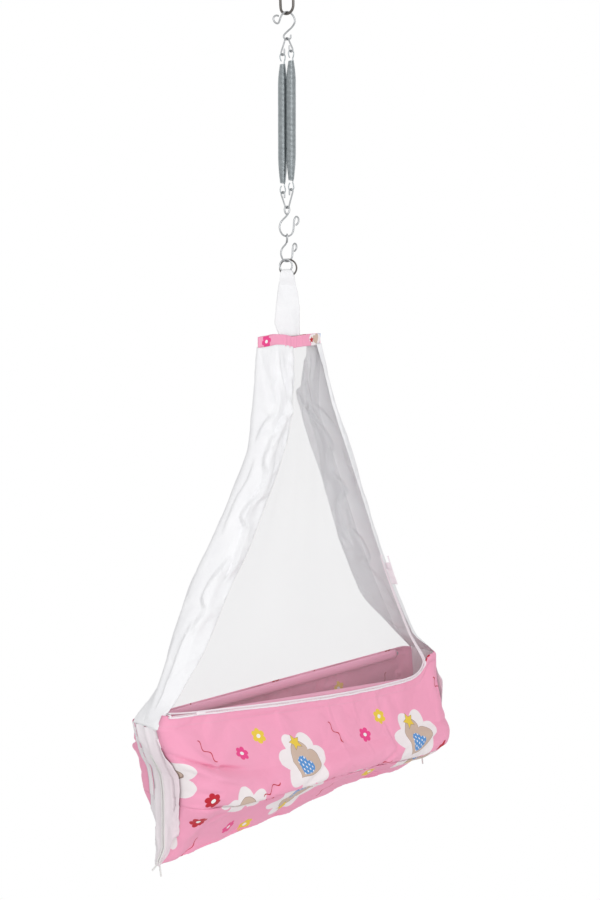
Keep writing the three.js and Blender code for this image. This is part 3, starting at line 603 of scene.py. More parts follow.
def smooth_between(points, steps):
    """More points on a smooth line through the given ones."""
    found = []
    for i in range(len(points) - 1):
        a, b = points[max(0, i - 1)], points[i]
        c, d = points[i + 1], points[min(len(points) - 1, i + 2)]
        for k in range(steps):
            t = k / steps
            found.append(0.5 * (2 * b + (c - a) * t + (2 * a - 5 * b + 4 * c - d) * t ** 2
                                + (3 * b - a - 3 * c + d) * t ** 3))
    return found + [points[-1]]

def wire(name, points, diameter, sides=4):
    """A mesh tube along the points, with closed ends."""
    curve = bpy.data.curves.new(name, "CURVE")
    curve.dimensions = "3D"
    curve.bevel_depth = diameter / 2
    curve.bevel_resolution = sides
    curve.use_fill_caps = True
    spline = curve.splines.new("POLY")
    spline.points.add(len(points) - 1)
    for spot, point in zip(spline.points, points):
        spot.co = (*point, 1)
    holder = bpy.data.objects.new(name, curve)
    mesh = bpy.data.meshes.new_from_object(holder)
    bpy.data.objects.remove(holder)
    mesh.name = name
    piece = bpy.data.objects.new(name, mesh)
    bpy.context.collection.objects.link(piece)
    return piece

def spring_path(low, high):
    centre = (low + high) / 2
    top, bottom = high.z - spring_wire / 2, low.z + spring_wire / 2
    reach = (spring_eye_width - spring_wire) / 2
    across = Vector((math.cos(spring_turn), math.sin(spring_turn), 0))

    def eye(level, way):
        return [Vector((centre.x, centre.y, level + way * z * spring_eye_height)) + across * s * reach
                for s, z in spring_eye_shares]
    coil_top = top - spring_eye_height - spring_wire
    coil_bottom = bottom + spring_eye_height + spring_wire
    turns = int((coil_top - coil_bottom) / (spring_wire * turn_pitch))
    barrel = (spring_width - spring_wire) / 2
    coil = []
    for i in range(turns * turn_steps + 1):
        z = coil_top + (coil_bottom - coil_top) * i / (turns * turn_steps)
        taper = min((coil_top - z) / spring_tapers[0], (z - coil_bottom) / spring_tapers[1], 1)
        radius = spring_neck + (barrel - spring_neck) * math.sin(taper * math.pi / 2)
        angle = spring_turn - i / turn_steps * 2 * math.pi
        coil.append(Vector((centre.x + math.cos(angle) * radius, centre.y + math.sin(angle) * radius, z)))
    upper = smooth_between(eye(top, 1) + coil[:2], 5)
    lower = smooth_between(coil[-2:] + eye(bottom, -1)[::-1], 5)
    return upper[:-1] + coil[1:-2] + lower, coil_top, coil_bottom, turns

for side in ("left", "right"):
    node = "spring_" + side
    path, coil_top, coil_bottom, turns = spring_path(*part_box(node))
    piece = wire(node + "_coil", path, spring_wire)
    place_piece(piece, spring_steel, "spring_steel", None, node)
    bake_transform(piece)
    print(node, "has", turns, "turns and", len(piece.data.polygons), "faces")

# %% [markdown]
# ## The cloth's shape
# Every cloth piece meets its neighbours at the same lines: the band, the left and right edges, the
# rim, the ledge where the walls come to the mattress, the crease below it and the keel. So these
# lines are written once, as smooth curves through a few rows, and all the pieces are laid out from
# them. The rows could be traced on the photograph, but real sizes below the rim are easier to check.

# %% Lines that the cloth pieces share
seam_gap = 0.3 * millimetre
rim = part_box("wall_back")[1].z
net_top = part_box("net_back")[1].z
net_height = net_top - rim
band_low, band_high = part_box("neck_band")
bag_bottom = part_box("bottom_panel")[0].z
bag_height = rim - bag_bottom
rim_left = -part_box("net_back")[0].x
rim_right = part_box("net_back")[1].x
end_half = 32 * millimetre
rim_half = 48 * millimetre
front_rise = 24 * millimetre
front_drop = 36 * millimetre
left_inset = 44 * millimetre
rim_tuck = 10 * millimetre

net_left_shares = [
    (0, 0), (0.145, 0.035), (0.28, 0.08), (0.41, 0.24), (0.535, 0.42), (0.657, 0.6), (0.78, 0.745),
    (0.904, 0.88), (1, 1),
]
net_right_shares = [
    (0, 0), (0.166, 0.116), (0.314, 0.256), (0.469, 0.4), (0.626, 0.546), (0.792, 0.729), (0.969, 0.95),
    (1, 1),
]
bag_left_shares = [(0, 0), (0.13, 0.22), (0.25, 0.5), (0.37, 0.88), (0.55, 1), (0.9, 0.97), (1, 0.62)]
# metres inwards from the frame's right end, by share of the bag's height
bag_right_rows = [
    (0, rim_tuck), (0.15, 0.005), (0.33, 0), (0.48, -0.003), (0.63, 0.001), (0.78, 0.012), (1, 0.03),
]
front_rim_shares = [
    (0, 0), (0.85, 1), (0.9, 0.94), (0.925, 0.74), (0.94, 0.5), (0.955, 0.34), (1, 0.3),
]
# metres below the rim, by share of the bag's length from the left
ledge_rows = [(0, 0.044), (0.035, 0.06), (0.1, 0.085), (0.25, 0.116), (0.46, 0.125), (0.7, 0.13), (1, 0.136)]
crease_rows = [
    (0, 0.15), (0.06, 0.156), (0.17, 0.171), (0.41, 0.176), (0.66, 0.184), (0.88, 0.196), (1, 0.19),
]
keel_rows = [(0, 0.2695), (0.1, 0.268), (0.25, 0.261), (0.5, 0.25), (0.7, 0.243), (0.9, 0.245), (1, 0.232)]

def mix(a, b, t):
    return a + (b - a) * t

def smooth(t, low=0.0, high=1.0):
    t = min(1.0, max(0.0, (t - low) / (high - low)))
    return t * t * (3 - 2 * t)

def bell(off, width):
    return math.exp(-(off / width) ** 2)

def through(rows, t):
    """A smooth curve through the rows that never swings past them."""
    t = min(rows[-1][0], max(rows[0][0], t))
    slopes = [(b[1] - a[1]) / (b[0] - a[0]) for a, b in zip(rows, rows[1:])]
    i = 0
    while i < len(slopes) - 1 and rows[i + 1][0] < t:
        i += 1

    def lean(k):
        if k == 0 or k == len(slopes):
            return slopes[min(k, len(slopes) - 1)]
        a, b = slopes[k - 1], slopes[k]
        return 0.0 if a * b <= 0 else 2 * a * b / (a + b)
    wide = rows[i + 1][0] - rows[i][0]
    s = (t - rows[i][0]) / wide
    start, end = rows[i][1], rows[i + 1][1]
    return (start * (1 + 2 * s) * (1 - s) ** 2 + end * (3 - 2 * s) * s * s
            + wide * (lean(i) * s * (1 - s) ** 2 - lean(i + 1) * (1 - s) * s * s))

def left_edge(z):
    if z >= rim:
        return -mix(-band_low.x, rim_left, through(net_left_shares, (net_top - z) / net_height))
    return -rim_left + left_inset * through(bag_left_shares, (rim - z) / bag_height)

def right_edge(z):
    if z >= rim:
        return mix(band_high.x, rim_right - rim_tuck, through(net_right_shares, (net_top - z) / net_height))
    return rim_right - through(bag_right_rows, (rim - z) / bag_height)

def tip(end, z):
    return left_edge(z) if end < 0 else right_edge(z)

def front_rim(u):
    return rim + front_rise - (front_rise + front_drop) * through(front_rim_shares, u)

def rim_height(u, side):
    return front_rim(u) if side < 0 else rim

def across_at(u, z):
    return mix(left_edge(z), right_edge(z), u)

print("rim at", round(rim, 3), "net height", round(net_height, 3), "bag height", round(bag_height, 3))

# %% [markdown]
# ## Sewing tools
# A cloth piece starts as a flat grid made by one operator. A formula then carries each point to its
# place, and the grid's own two directions stay behind as a UV map in metres, so that weave, print and
# stitches keep their scale. Small wrinkles come from a short cloth simulation: the borders are
# sewn down, the cloth grows a little, and what is left over has to buckle.

# %% Sheets and their thickness
def cloth_grid(name, columns, rows, place, size, corner=(0.0, 0.0), joined=False):
    """A sheet that place(u, v) bends into shape, with u to the right and v up on its outer face."""
    bm = bmesh.new()
    flat = bm.loops.layers.uv.new("UVMap")
    bmesh.ops.create_grid(bm, x_segments=columns, y_segments=rows, size=0.5)
    keys = {vert: (round((vert.co.x + 0.5) * columns), round((vert.co.y + 0.5) * rows)) for vert in bm.verts}
    spots = {key: place(key[0] / columns, key[1] / rows) for key in keys.values()}
    # the height on the flat cloth is the real length down from the top edge
    heights = {}
    for i in range(columns + 1):
        heights[i, rows] = corner[1] + size[1]
        for j in range(rows - 1, -1, -1):
            heights[i, j] = heights[i, j + 1] - (spots[i, j + 1] - spots[i, j]).length
    for face in bm.faces:
        for loop in face.loops:
            key = keys[loop.vert]
            loop[flat].uv = (corner[0] + key[0] / columns * size[0], heights[key])
    for vert in bm.verts:
        vert.co = spots[keys[vert]]
    if joined:
        bmesh.ops.remove_doubles(bm, verts=bm.verts, dist=merge_distance * 100)
    return object_from(name, bm)

def thicken(piece, thickness):
    """Cloth thickness, added on the inner side."""
    add_modifier(piece, "SOLIDIFY", thickness=thickness, offset=-1)

def surface_of(*pieces):
    """One search tree over the sheets, to lay other pieces on them."""
    corners, faces = [], []
    for piece in pieces:
        start = len(corners)
        corners += [vert.co.copy() for vert in piece.data.vertices]
        faces += [[start + k for k in face.vertices] for face in piece.data.polygons]
    return BVHTree.FromPolygons(corners, faces)

print("sheets can be made, thickened and searched")

# %% Wrinkles
def border_of(mesh):
    bm = bmesh.new()
    bm.from_mesh(mesh)
    found = [vert.index for vert in bm.verts if vert.is_boundary]
    bm.free()
    return found

def let_settle(piece, most, frames, inwards=None, **settings):
    """Runs a short cloth simulation and keeps its result, with limits on how far a point moves."""
    before = [(vert.co.copy(), vert.normal.copy()) for vert in piece.data.vertices]
    cloth = piece.modifiers.new("Cloth", "CLOTH")
    for name, value in settings.items():
        setattr(cloth.settings, name, value)
    cloth.settings.effector_weights.gravity = 0.0
    cloth.point_cache.frame_end = frames
    for frame_number in range(1, frames + 1):
        bpy.context.scene.frame_set(frame_number)
    settled = piece.evaluated_get(bpy.context.evaluated_depsgraph_get()).data
    furthest = 0.0
    for vert, (start, out), end in zip(piece.data.vertices, before, settled.vertices):
        move = end.co - start
        furthest = max(furthest, move.length)
        if inwards is not None:
            move -= out * min(0.0, move.dot(out) + inwards)
        vert.co = start + move * min(1.0, most / max(move.length, most * 0.01))
    piece.modifiers.remove(cloth)
    bpy.context.scene.frame_set(1)
    print(piece.name, "settled by up to", round(furthest * 1000, 1), "mm")

buckle_frames = 14
cloth_mass = 0.15
cloth_stiffness = 15.0
cloth_bending = 0.6

def let_buckle(piece, growth, most, inwards=None):
    """Lets a sheet with its border sewn down buckle as it grows by a share of its size."""
    sewn = piece.vertex_groups.new(name="sewn")
    sewn.add(border_of(piece.data), 1.0, "REPLACE")
    let_settle(piece, most, buckle_frames, inwards, quality=6, mass=cloth_mass,
               tension_stiffness=cloth_stiffness, compression_stiffness=cloth_stiffness,
               bending_stiffness=cloth_bending, vertex_group_mass="sewn", shrink_min=-growth)
    piece.vertex_groups.remove(sewn)

def ridge(x, y, start, end, width, height):
    """Height of a soft fold that runs between two places and is highest at its start."""
    run = (end[0] - start[0], end[1] - start[1])
    t = ((x - start[0]) * run[0] + (y - start[1]) * run[1]) / (run[0] ** 2 + run[1] ** 2)
    t = min(1.0, max(0.0, t))
    off = math.hypot(x - start[0] - run[0] * t, y - start[1] - run[1] * t)
    return height * bell(off, width) * (1 - t * t)

def unevenness(x, y, seed, size):
    """Smooth noise about -1 to 1 for places on a sheet, in metres."""
    return noise.noise(Vector((x / size, y / size, seed)))

print("sewing tools ready")

# %% [markdown]
# ## Neck strap
# One strip of cotton goes up, through both rings and down again, and widens towards the band. It turns
# as it falls, because the rings hang askew to the bag, and that leaves one long slanting fold.
# A sheet along its length, narrowed and turned by its height, is simpler than simulating the knot.

# %% Neck strap
neck_low, neck_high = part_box("neck_strap")
neck_top = neck_high.z
neck_length = neck_top - neck_low.z
neck_turn = math.radians(-50)
neck_loop = 7.2 * millimetre
neck_shut = 34 * millimetre
neck_cloth = 1.0 * millimetre
neck_arc_share = 0.1
neck_slant = 0.42
# metres below the top between which the slant comes in and goes out, and the crumple comes in
slant_starts = (0.012, 0.04)
slant_ends = (0.1, 0.128)
crumple_starts = (0.006, 0.03)
neck_crumple = 0.0016
neck_crumple_size = 0.02
neck_flat_width = 0.054
neck_turned_in = 0.01
neck_width_rows = [
    (0, 0.013), (0.002, 0.017), (0.006, 0.024), (0.018, 0.028), (0.035, 0.035), (0.07, 0.044),
    (0.11, 0.05), (0.13, 0.052),
]
neck_fold_rows = [(0, -0.012), (0.03, -0.013), (0.06, -0.006), (0.09, 0.006), (0.13, 0.017)]

def neck_place(u, v):
    side = 1 if v > 0.5 else -1
    share = abs(2 * v - 1)
    if share < neck_arc_share:
        angle = share / neck_arc_share * math.pi / 2
        drop, deep = neck_loop * (1 - math.cos(angle)), neck_loop * math.sin(angle)
    else:
        drop = mix(neck_loop, neck_length, (share - neck_arc_share) / (1 - neck_arc_share))
        deep = mix(neck_loop, neck_cloth * 0.6, smooth(drop, neck_shut * 0.35, neck_shut))
    across = (u - 0.5) * through(neck_width_rows, drop)
    # left of the slanting fold the cloth leans back
    past = max(0.0, through(neck_fold_rows, drop) - across)
    lean = neck_slant * past * smooth(drop, *slant_starts) * (1 - smooth(drop, *slant_ends))
    crumple = neck_crumple * unevenness(across, drop, 3.0 + side, neck_crumple_size)
    crumple *= smooth(drop, *crumple_starts)
    fall = smooth(drop / neck_length)
    turn = neck_turn * (1 - fall)
    deep = side * deep + crumple + lean
    x = math.cos(turn) * across - math.sin(turn) * deep + (band_low.x + band_high.x) / 2 * fall
    y = math.sin(turn) * across + math.cos(turn) * deep
    return Vector((x, y, neck_top - neck_cloth - drop))

neck_flat = (neck_flat_width, 2 * neck_length + neck_turned_in)
neck = cloth_grid("neck_strap_cloth", 26, 130, neck_place, neck_flat)
thicken(neck, neck_cloth)
place_piece(neck, white_cotton, "white_cotton", "cradle", "neck_strap")
print("the strap falls", round(neck_length, 3), "m and has", len(neck.data.polygons), "faces")

# %% [markdown]
# ## Band
# The printed band is a flat sleeve with a lath inside. Its cloth is pleated in the middle and rises
# and dips along its length, so it is a ring of cloth round an oval and not a box.

# %% Band
band_half = (band_high.y - band_low.y) / 2
band_length = band_high.x - band_low.x
band_height = band_high.z - band_low.z
band_cloth = 1.0 * millimetre
band_girth = 2 * band_length + 4 * band_half
band_rise_rows = [(0, -0.0034), (0.14, -0.0014), (0.26, 0.0006), (0.4, -0.001), (0.53, -0.005),
                  (0.68, -0.0032), (1, -0.002)]
pleat_shares = [0.4, 0.47, 0.53, 0.57, 0.66]
pleat_height = 0.0013
pleat_width = 0.011
band_inset = 0.0008
band_wave = 0.0005

def band_rise(x):
    """How much the band's edges stand above their mean height at a place along it."""
    return through(band_rise_rows, (x - band_low.x) / band_length)

def band_place(u, v):
    # the first half of u goes along the front, and the second back along the back
    way = -1 if u <= 0.5 else 1
    t = 2 * u if u <= 0.5 else 2 - 2 * u
    along = mix(2 * t - 1, math.sin((t - 0.5) * math.pi), 0.25)
    s = math.sqrt(max(0.0, 1 - abs(along) ** 5.7))
    x = mix(band_low.x, band_high.x, (along + 1) / 2)
    y = band_half * s ** 0.75 * way
    share = (x - band_low.x) / band_length
    out = -band_inset + band_wave * math.sin(share * 19 + v)
    out += sum(pleat_height * bell(share - pleat, pleat_width) * (1 - 0.5 * v) for pleat in pleat_shares)
    y += out * min(1.0, s * 2) * way
    return Vector((x, y, mix(band_low.z, band_high.z, v) + band_rise(x)))

band = cloth_grid("neck_band_cloth", 260, 12, band_place, (band_girth, band_height), joined=True)
thicken(band, band_cloth)
place_piece(band, band_cotton, "printed_cotton", "cradle", "neck_band")
print("the band is", round(band_length, 3), "m long and has", len(band.data.polygons), "faces")

# %% [markdown]
# ## Net
# The net is gathered into the band and falls in soft folds that fade before the rim. At each end its
# two panels close to a ridge, so they stop short of it. They are single sheets, because a wall on
# them would double the threads that the alpha pattern draws.

# %% Net panels
net_shoulder = 0.24
net_tuck = 5 * millimetre
net_in_band = 0.002
near_share = 0.55
far_share = 1.05
tip_power = 1.35
flat_end_share = 0.91
wide_gather = 0.003
fine_gather = 0.0022
net_drape = 0.006

def net_end(down):
    return mix(band_half - net_in_band, end_half, smooth(down / net_shoulder))

def net_corner(side, end, down):
    """How far the corner of one side stands back from the ridge of one end."""
    share = near_share if side == end else far_share
    return share * net_end(down) * smooth(1 - down, 0.0, 1 - flat_end_share)

def bulge(u, power):
    """1 in the middle of the length and 0 at both ends."""
    return 1 - abs(2 * u - 1) ** power

def net_folds(u, down, side):
    """Gathers under the band that widen and fade on the way down."""
    fade = math.sin(min(1.0, down * 6 + 0.15) * math.pi / 2) * (1 - down) ** 1.6 * bulge(u, 6)
    gathers = wide_gather * math.sin(u * 43 + side) + fine_gather * math.sin(u * 71 + 2 * side + 3 * down)
    drape = net_drape * math.sin(u * 17 + 1.4 * side + 2.2 * down) * math.sin(down * math.pi) * bulge(u, 4)
    return fade * gathers * smooth(down, 0, 0.08) + drape

def net_point(u, z, side):
    down = min(1.0, max(0.0, (net_top - z) / net_height))
    left = left_edge(z) + net_corner(side, -1, down)
    right = right_edge(z) - net_corner(side, 1, down)
    swell = (rim_half - end_half) * down * down * bulge(u, mix(2, 16, down * down))
    return Vector((mix(left, right, u), side * (net_end(down) + swell + net_folds(u, down, side)), z))

def net_place(side):
    def place(u, v):
        s = u if side < 0 else 1 - u
        spot = net_point(s, mix(rim_height(s, side), net_top, v), side)
        spot.z += (band_rise(spot.x) + net_tuck) * smooth(v, 0.9, 1)
        return spot
    return place

net_flat = (rim_left + rim_right, net_height * 1.06)
net_pieces = {}
for name, side in (("net_front", -1), ("net_back", 1)):
    panel = cloth_grid(name + "_cloth", 150, 120, net_place(side), net_flat)
    place_piece(panel, net_mesh, "net_mesh", "cradle", name)
    net_pieces[side] = panel
    print(name, "has", len(panel.data.polygons), "faces")

# %% [markdown]
# ## End panels
# White cotton closes both ends of the net. It is cut much wider than the gap, so it folds over the
# net's edges on both sides and hangs slack. Each level is an outline round the end, from the front
# over the ridge to the back. Tucks follow given lines down the cloth: on one side of the line the
# cloth steps up over itself and then falls back. Noise and the simulation give the small creases.

# %% End panels
end_lift = 2.4 * millimetre
end_cloth = 0.6 * millimetre
end_crumple = 0.0018
end_crumple_size = 0.04
# where a tuck steps up beside its line, and how far it takes to fall back
tuck_step = (-0.0025, 0.0015)
tuck_width = 0.02
outline_steps = 12
# how far the cloth goes round each corner, in metres, by share down the net
left_front_rows = [(0, 0.086), (0.12, 0.076), (0.22, 0.058), (0.31, 0.045), (0.5, 0.046), (0.68, 0.04),
                   (0.8, 0.03), (0.93, 0.004), (1, 0.002)]
left_back_rows = [(0, 0.05), (0.3, 0.04), (0.7, 0.036), (0.93, 0.004), (1, 0.002)]
right_front_rows = [(0, 0.012), (0.4, 0.004), (1, 0.002)]
right_back_rows = [(0, 0.03), (0.18, 0.058), (0.5, 0.06), (0.78, 0.05), (0.93, 0.006), (1, 0.002)]
# height of a tuck, and the line it follows: share down, then metres round from the corner
tucks = [
    (0.011, [(-0.03, 0.045), (0.09, 0.03), (0.17, 0.008), (0.215, -0.014), (0.27, -0.03)]),
    (0.013, [(-0.01, 0.078), (0.04, 0.071), (0.11, 0.056), (0.17, 0.038), (0.215, 0.013), (0.255, 0),
              (0.305, -0.005), (0.35, 0.004), (0.395, 0.008), (0.43, -0.002), (0.455, -0.004),
              (0.495, 0.012), (0.56, 0.017), (0.64, 0.02)]),
    (0.011, [(0.55, 0.008), (0.59, 0), (0.615, -0.006), (0.665, -0.009), (0.7, 0), (0.735, -0.006),
             (0.77, -0.008)]),
    (0.009, [(0.72, -0.012), (0.78, -0.018), (0.83, -0.021), (0.9, -0.024), (0.97, -0.024)]),
    (0.007, [(0.3, -0.024), (0.36, -0.02), (0.42, -0.026), (0.52, -0.023)]),
]

def tuck_height(round_by, down):
    total = 0.0
    for lift, rows in tucks:
        first, last = rows[0][0], rows[-1][0]
        if first < down < last:
            off = round_by - through(rows, down)
            fade = smooth(down, first, first + 0.04) * (1 - smooth(down, last - 0.05, last))
            total += lift * fade * smooth(off, *tuck_step) * bell(max(0.0, off), tuck_width)
    return total

def end_outline(end, z, down, wraps):
    """Points and their lengths round one end at one height, from the front over the ridge to the back."""
    legs = []
    for side, wrap in zip((-1, 1), wraps):
        corner, half = net_corner(side, end, down), net_end(down)
        leg = [Vector((tip(end, z) - end * corner * w ** tip_power, side * half * w, z))
               for w in (k / outline_steps for k in range(1, outline_steps + 1))]
        width = right_edge(z) - left_edge(z)
        for k in range(1, outline_steps + 1):
            u = wrap * k / outline_steps / width
            leg.append(net_point(u if end < 0 else 1 - u, z, side))
        legs.append(leg)
    points = legs[0][::-1] + [Vector((tip(end, z), 0, z))] + legs[1]
    lengths = [0.0]
    for a, b in zip(points, points[1:]):
        lengths.append(lengths[-1] + (b - a).length)
    return points, lengths

def end_place(end, front_rows, back_rows):
    levels = {}

    def place(u, v):
        z = mix(rim, net_top, v)
        down = (net_top - z) / net_height
        if v not in levels:
            wraps = (through(front_rows, down), through(back_rows, down))
            levels[v] = end_outline(end, z, down, wraps)
        points, lengths = levels[v]
        share = 1 - u if end < 0 else u
        at = share * lengths[-1]
        k = 0
        while k < len(lengths) - 2 and lengths[k + 1] < at:
            k += 1
        spot = points[k].lerp(points[k + 1], (at - lengths[k]) / max(lengths[k + 1] - lengths[k], 1e-9))
        # outwards is square to the outline, taken over a few steps so that it turns smoothly
        run = points[min(len(points) - 1, k + 3)] - points[max(0, k - 2)]
        out = Vector((run.y, -run.x, 0)).normalized() * (1 if end > 0 else -1)
        near_corner = lengths[outline_steps if end < 0 else -1 - outline_steps]
        round_by = near_corner - at if end < 0 else at - near_corner
        fade = math.sin(min(1.0, down * 9) * math.pi / 2) * smooth(1 - down, 0, 0.08)
        crumple = end_crumple * unevenness(at, down * 0.7, 3.0 + end, end_crumple_size)
        loose = tuck_height(round_by, down) + crumple
        spot = spot + out * (end_lift + max(0.0, loose) * fade)
        spot.z += (band_rise(spot.x) + net_tuck * 0.6) * smooth(v, 0.9, 1)
        return spot
    return place

end_sides = (("left", -1, left_front_rows, left_back_rows), ("right", 1, right_front_rows, right_back_rows))
end_flat = (0.15, net_height * 1.05)
for name, end, front_rows, back_rows in end_sides:
    panel = cloth_grid("net_end_" + name + "_cloth", 64, 190, end_place(end, front_rows, back_rows), end_flat)
    let_buckle(panel, growth=0.014, most=0.003, inwards=0.0006)
    thicken(panel, end_cloth)
    place_piece(panel, white_cotton, "white_cotton", "cradle", "net_end_" + name)

# %% [markdown]
# ## Bag walls and bottom
# Each wall hangs from its rim rod, slopes out to the ledge along the mattress, bulges over its side
# and tucks under at the crease. Below the crease the bottom panel swells again and bellies down to
# the keel. All of it is drawn as depth by height and length, and then left to buckle a little.

# %% Bag walls
wall_cloth = 0.7 * millimetre
ledge_half = 79 * millimetre
tuck_half = 88 * millimetre
side_swell = 13 * millimetre
wall_sag = 4 * millimetre
end_round_rows = [(0, 0.03), (0.05, 0.05), (0.09, 0.05), (0.2, 0.045), (0.27, 0.06)]
back_round_share = 0.6
hem_height = 19 * millimetre
hem_bulge = 2.4 * millimetre
crease_bite = 11 * millimetre
crease_width = 0.005
seam_bite = 0.0012
seam_width = 0.0018
bag_length = right_edge(rim) - left_edge(rim)
wall_flat = (0.78, 0.215)
# the groove along the ledge at the left end and past it, its width there, and the roll below it
ledge_bites = (0.008, 0.0022)
bite_widths = (0.0045, 0.007)
bite_roll = 0.014
roll_width = 0.01
pressed_shares = [0.36, 0.54, 0.63, 0.72]
press_height = 0.0007
press_width = 0.0032
press_starts = (0.02, 0.05)
wall_hang = 0.19
wall_wave = 0.004
wall_wave_size = 0.13
wall_crumple = 0.0018
wall_crumple_size = 0.04
# wrinkles that spread from the left seam, and a few at the right end: where each starts and ends, in
# metres along the bag and down from the rim, and its width and height
wall_wrinkles = [
    ((0.075, 0.084), (0.035, 0.035), 0.006, 0.0055), ((0.08, 0.086), (0.15, 0.112), 0.005, -0.0045),
    ((0.06, 0.096), (0.14, 0.128), 0.007, 0.005), ((0.0, 0.118), (0.075, 0.128), 0.006, -0.0035),
    ((0.1, 0.07), (0.19, 0.04), 0.012, 0.003), ((0.728, 0.06), (0.722, 0.1), 0.004, -0.0045),
    ((0.76, 0.125), (0.6, 0.155), 0.009, 0.004), ((0.55, 0.15), (0.5, 0.185), 0.006, -0.0035),
    ((0.34, 0.14), (0.27, 0.168), 0.007, -0.003),
]

def rounded_end(s, drop, side):
    """From 0 at either end of the bag to 1 where its full depth is reached."""
    reach = through(end_round_rows, drop) * (1 if side < 0 else back_round_share)
    near = min(s, 1 - s) * bag_length
    return 1.0 if near >= reach else math.sqrt(max(0.0, 1 - (1 - near / reach) ** 2))

def wall_folds(s, drop, below, side):
    """Outward height of the folds in a wall, by share of the length and metres below rim and edge."""
    x, ledge = s * bag_length, through(ledge_rows, s)
    bite = mix(*ledge_bites, smooth(s, 0.07, 0.2)) * mix(1, 0.4, smooth(s, 0.9, 1))
    height = -bite * bell(drop - ledge, mix(*bite_widths, smooth(s, 0.05, 0.25)))
    height += bite * 0.7 * bell(drop - ledge - bite_roll, roll_width)
    for row in wall_wrinkles:
        height += ridge(x, drop, *row)
    # lines that were pressed in while the cloth lay folded in its packet
    lines = sum(press_height * bell(s - fold, press_width) for fold in pressed_shares)
    height += lines * smooth(drop, *press_starts)
    loose = math.sin(min(1.0, max(0.0, below / wall_hang)) * math.pi)
    height += wall_wave * unevenness(x, drop, 5.0 + side, wall_wave_size) * loose
    return height + wall_crumple * unevenness(x, drop, 9.0 + side, wall_crumple_size) * loose

def wall_depth(s, z, side):
    drop = rim - z
    start = rim - rim_height(s, side)
    ledge, low = through(ledge_rows, s), through(crease_rows, s)
    if drop < ledge:
        t = (drop - start) / (ledge - start)
        deep = mix(rim_half, ledge_half, t) - wall_sag * math.sin(math.pi * t)
    else:
        t = (drop - ledge) / (low - ledge)
        deep = mix(ledge_half, tuck_half, t) + side_swell * math.sin(math.pi * t ** 0.8)
        deep -= crease_bite * bell(low - drop, crease_width) * smooth(s, 0.02, 0.1)
    hem = hem_bulge * bell(drop - start - hem_height * 0.48, hem_height * 0.34)
    hem -= seam_bite * bell(drop - start - hem_height, seam_width)
    past_end = deep - end_half + hem + wall_folds(s, drop, drop - start, side)
    return end_half + past_end * rounded_end(s, drop, side)

def wall_place(side):
    def place(u, v):
        s = u if side < 0 else 1 - u
        z = mix(rim - through(crease_rows, s), rim_height(s, side), v)
        return Vector((across_at(s, z), side * wall_depth(s, z, side), z))
    return place

bag_pieces = {}
for name, side in (("wall_front", -1), ("wall_back", 1)):
    wall = cloth_grid(name + "_cloth", 200, 64, wall_place(side), wall_flat, (0.0, 0.1))
    let_buckle(wall, growth=0.012, most=0.0035)
    thicken(wall, wall_cloth)
    place_piece(wall, printed_cotton, "printed_cotton", "cradle", name)
    bag_pieces[name] = wall

# %% Bottom panel
belly_power = 1.7
belly_round = 0.75
belly_wave = 0.0055
belly_swell = 0.011
side_wave = 0.006
belly_wave_size = 0.075
side_wave_size = 0.07
bottom_inset = 0.0015
# at the left end: metres along and share from crease to keel, for both ends, then width and height
belly_creases = [((0.06, 0.3), (0.0, 0.75), 0.02, 0.006), ((0.09, 0.22), (0.03, 0.7), 0.012, -0.006)]
bottom_flat = (0.74, 0.29)

def bottom_place(u, v):
    # v runs from the front crease, through the keel, to the back crease
    across = 1 - 2 * v
    inwards = 1 - abs(across)
    along, girth = u * bottom_flat[0], v * 0.3
    share = math.cos(inwards * math.pi / 2) ** 0.9
    low = through(crease_rows, u) + seam_gap
    deep = through(keel_rows, u) - low
    drop = low + deep * (1 - share ** belly_power) ** belly_round
    drop -= belly_wave * unevenness(along, girth, 21.0, belly_wave_size) * math.sin(inwards * math.pi / 2)
    full = wall_depth(u, rim - through(crease_rows, u), -1 if across > 0 else 1)
    swell = belly_swell * math.sin(min(1.0, inwards * 3.2) * math.pi) * rounded_end(u, low, -1)
    wave = side_wave * unevenness(along, girth, 17.0, side_wave_size)
    swell += wave * math.sin(min(1.0, inwards * 2) * math.pi)
    for row in belly_creases:
        swell += ridge(along, inwards, *row)
    z = rim - drop
    x = mix(left_edge(z) + bottom_inset, right_edge(z) - bottom_inset, u)
    return Vector((x, -across * (full * share + swell), z))

bottom = cloth_grid("bottom_panel_cloth", 180, 72, bottom_place, bottom_flat, (0.01, -0.2))
let_buckle(bottom, growth=0.015, most=0.004)
thicken(bottom, wall_cloth)
place_piece(bottom, printed_cotton, "printed_cotton", "cradle", "bottom_panel")

# %% [markdown]
# ## Hems and rods
# The top of each wall is turned in and sewn down round a straight rod, which keeps the opening long.
# The sleeve is a sheet rolled round the rod's line and a little crumpled, open at both ends.

# %% Hems
hem_cloth = 0.8 * millimetre
hem_inset = 7 * millimetre
hem_width = 48 * millimetre
hem_corner = (0.08, 0.262)
hem_deep = 0.006
hem_crumple = 0.0006

def hem_place(node):
    low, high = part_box(node)
    half_height = hem_height / 2
    # the front rim falls on its way to the right, and the back one is level
    fall = high.z - low.z - hem_height if low.y < 0 else 0.0

    def place(u, v):
        angle = 2 * math.pi * v
        x = mix(max(low.x, left_edge(rim) + hem_inset), min(high.x, right_edge(rim) - hem_inset), u)
        deep = hem_deep + hem_crumple * unevenness(x, v, 41.0, 0.03)
        z = high.z - half_height - fall * u + math.sin(angle) * (half_height - hem_cloth)
        y = (low.y + high.y) / 2 + math.cos(angle) * deep * 0.9
        return Vector((x, y, z))
    return place

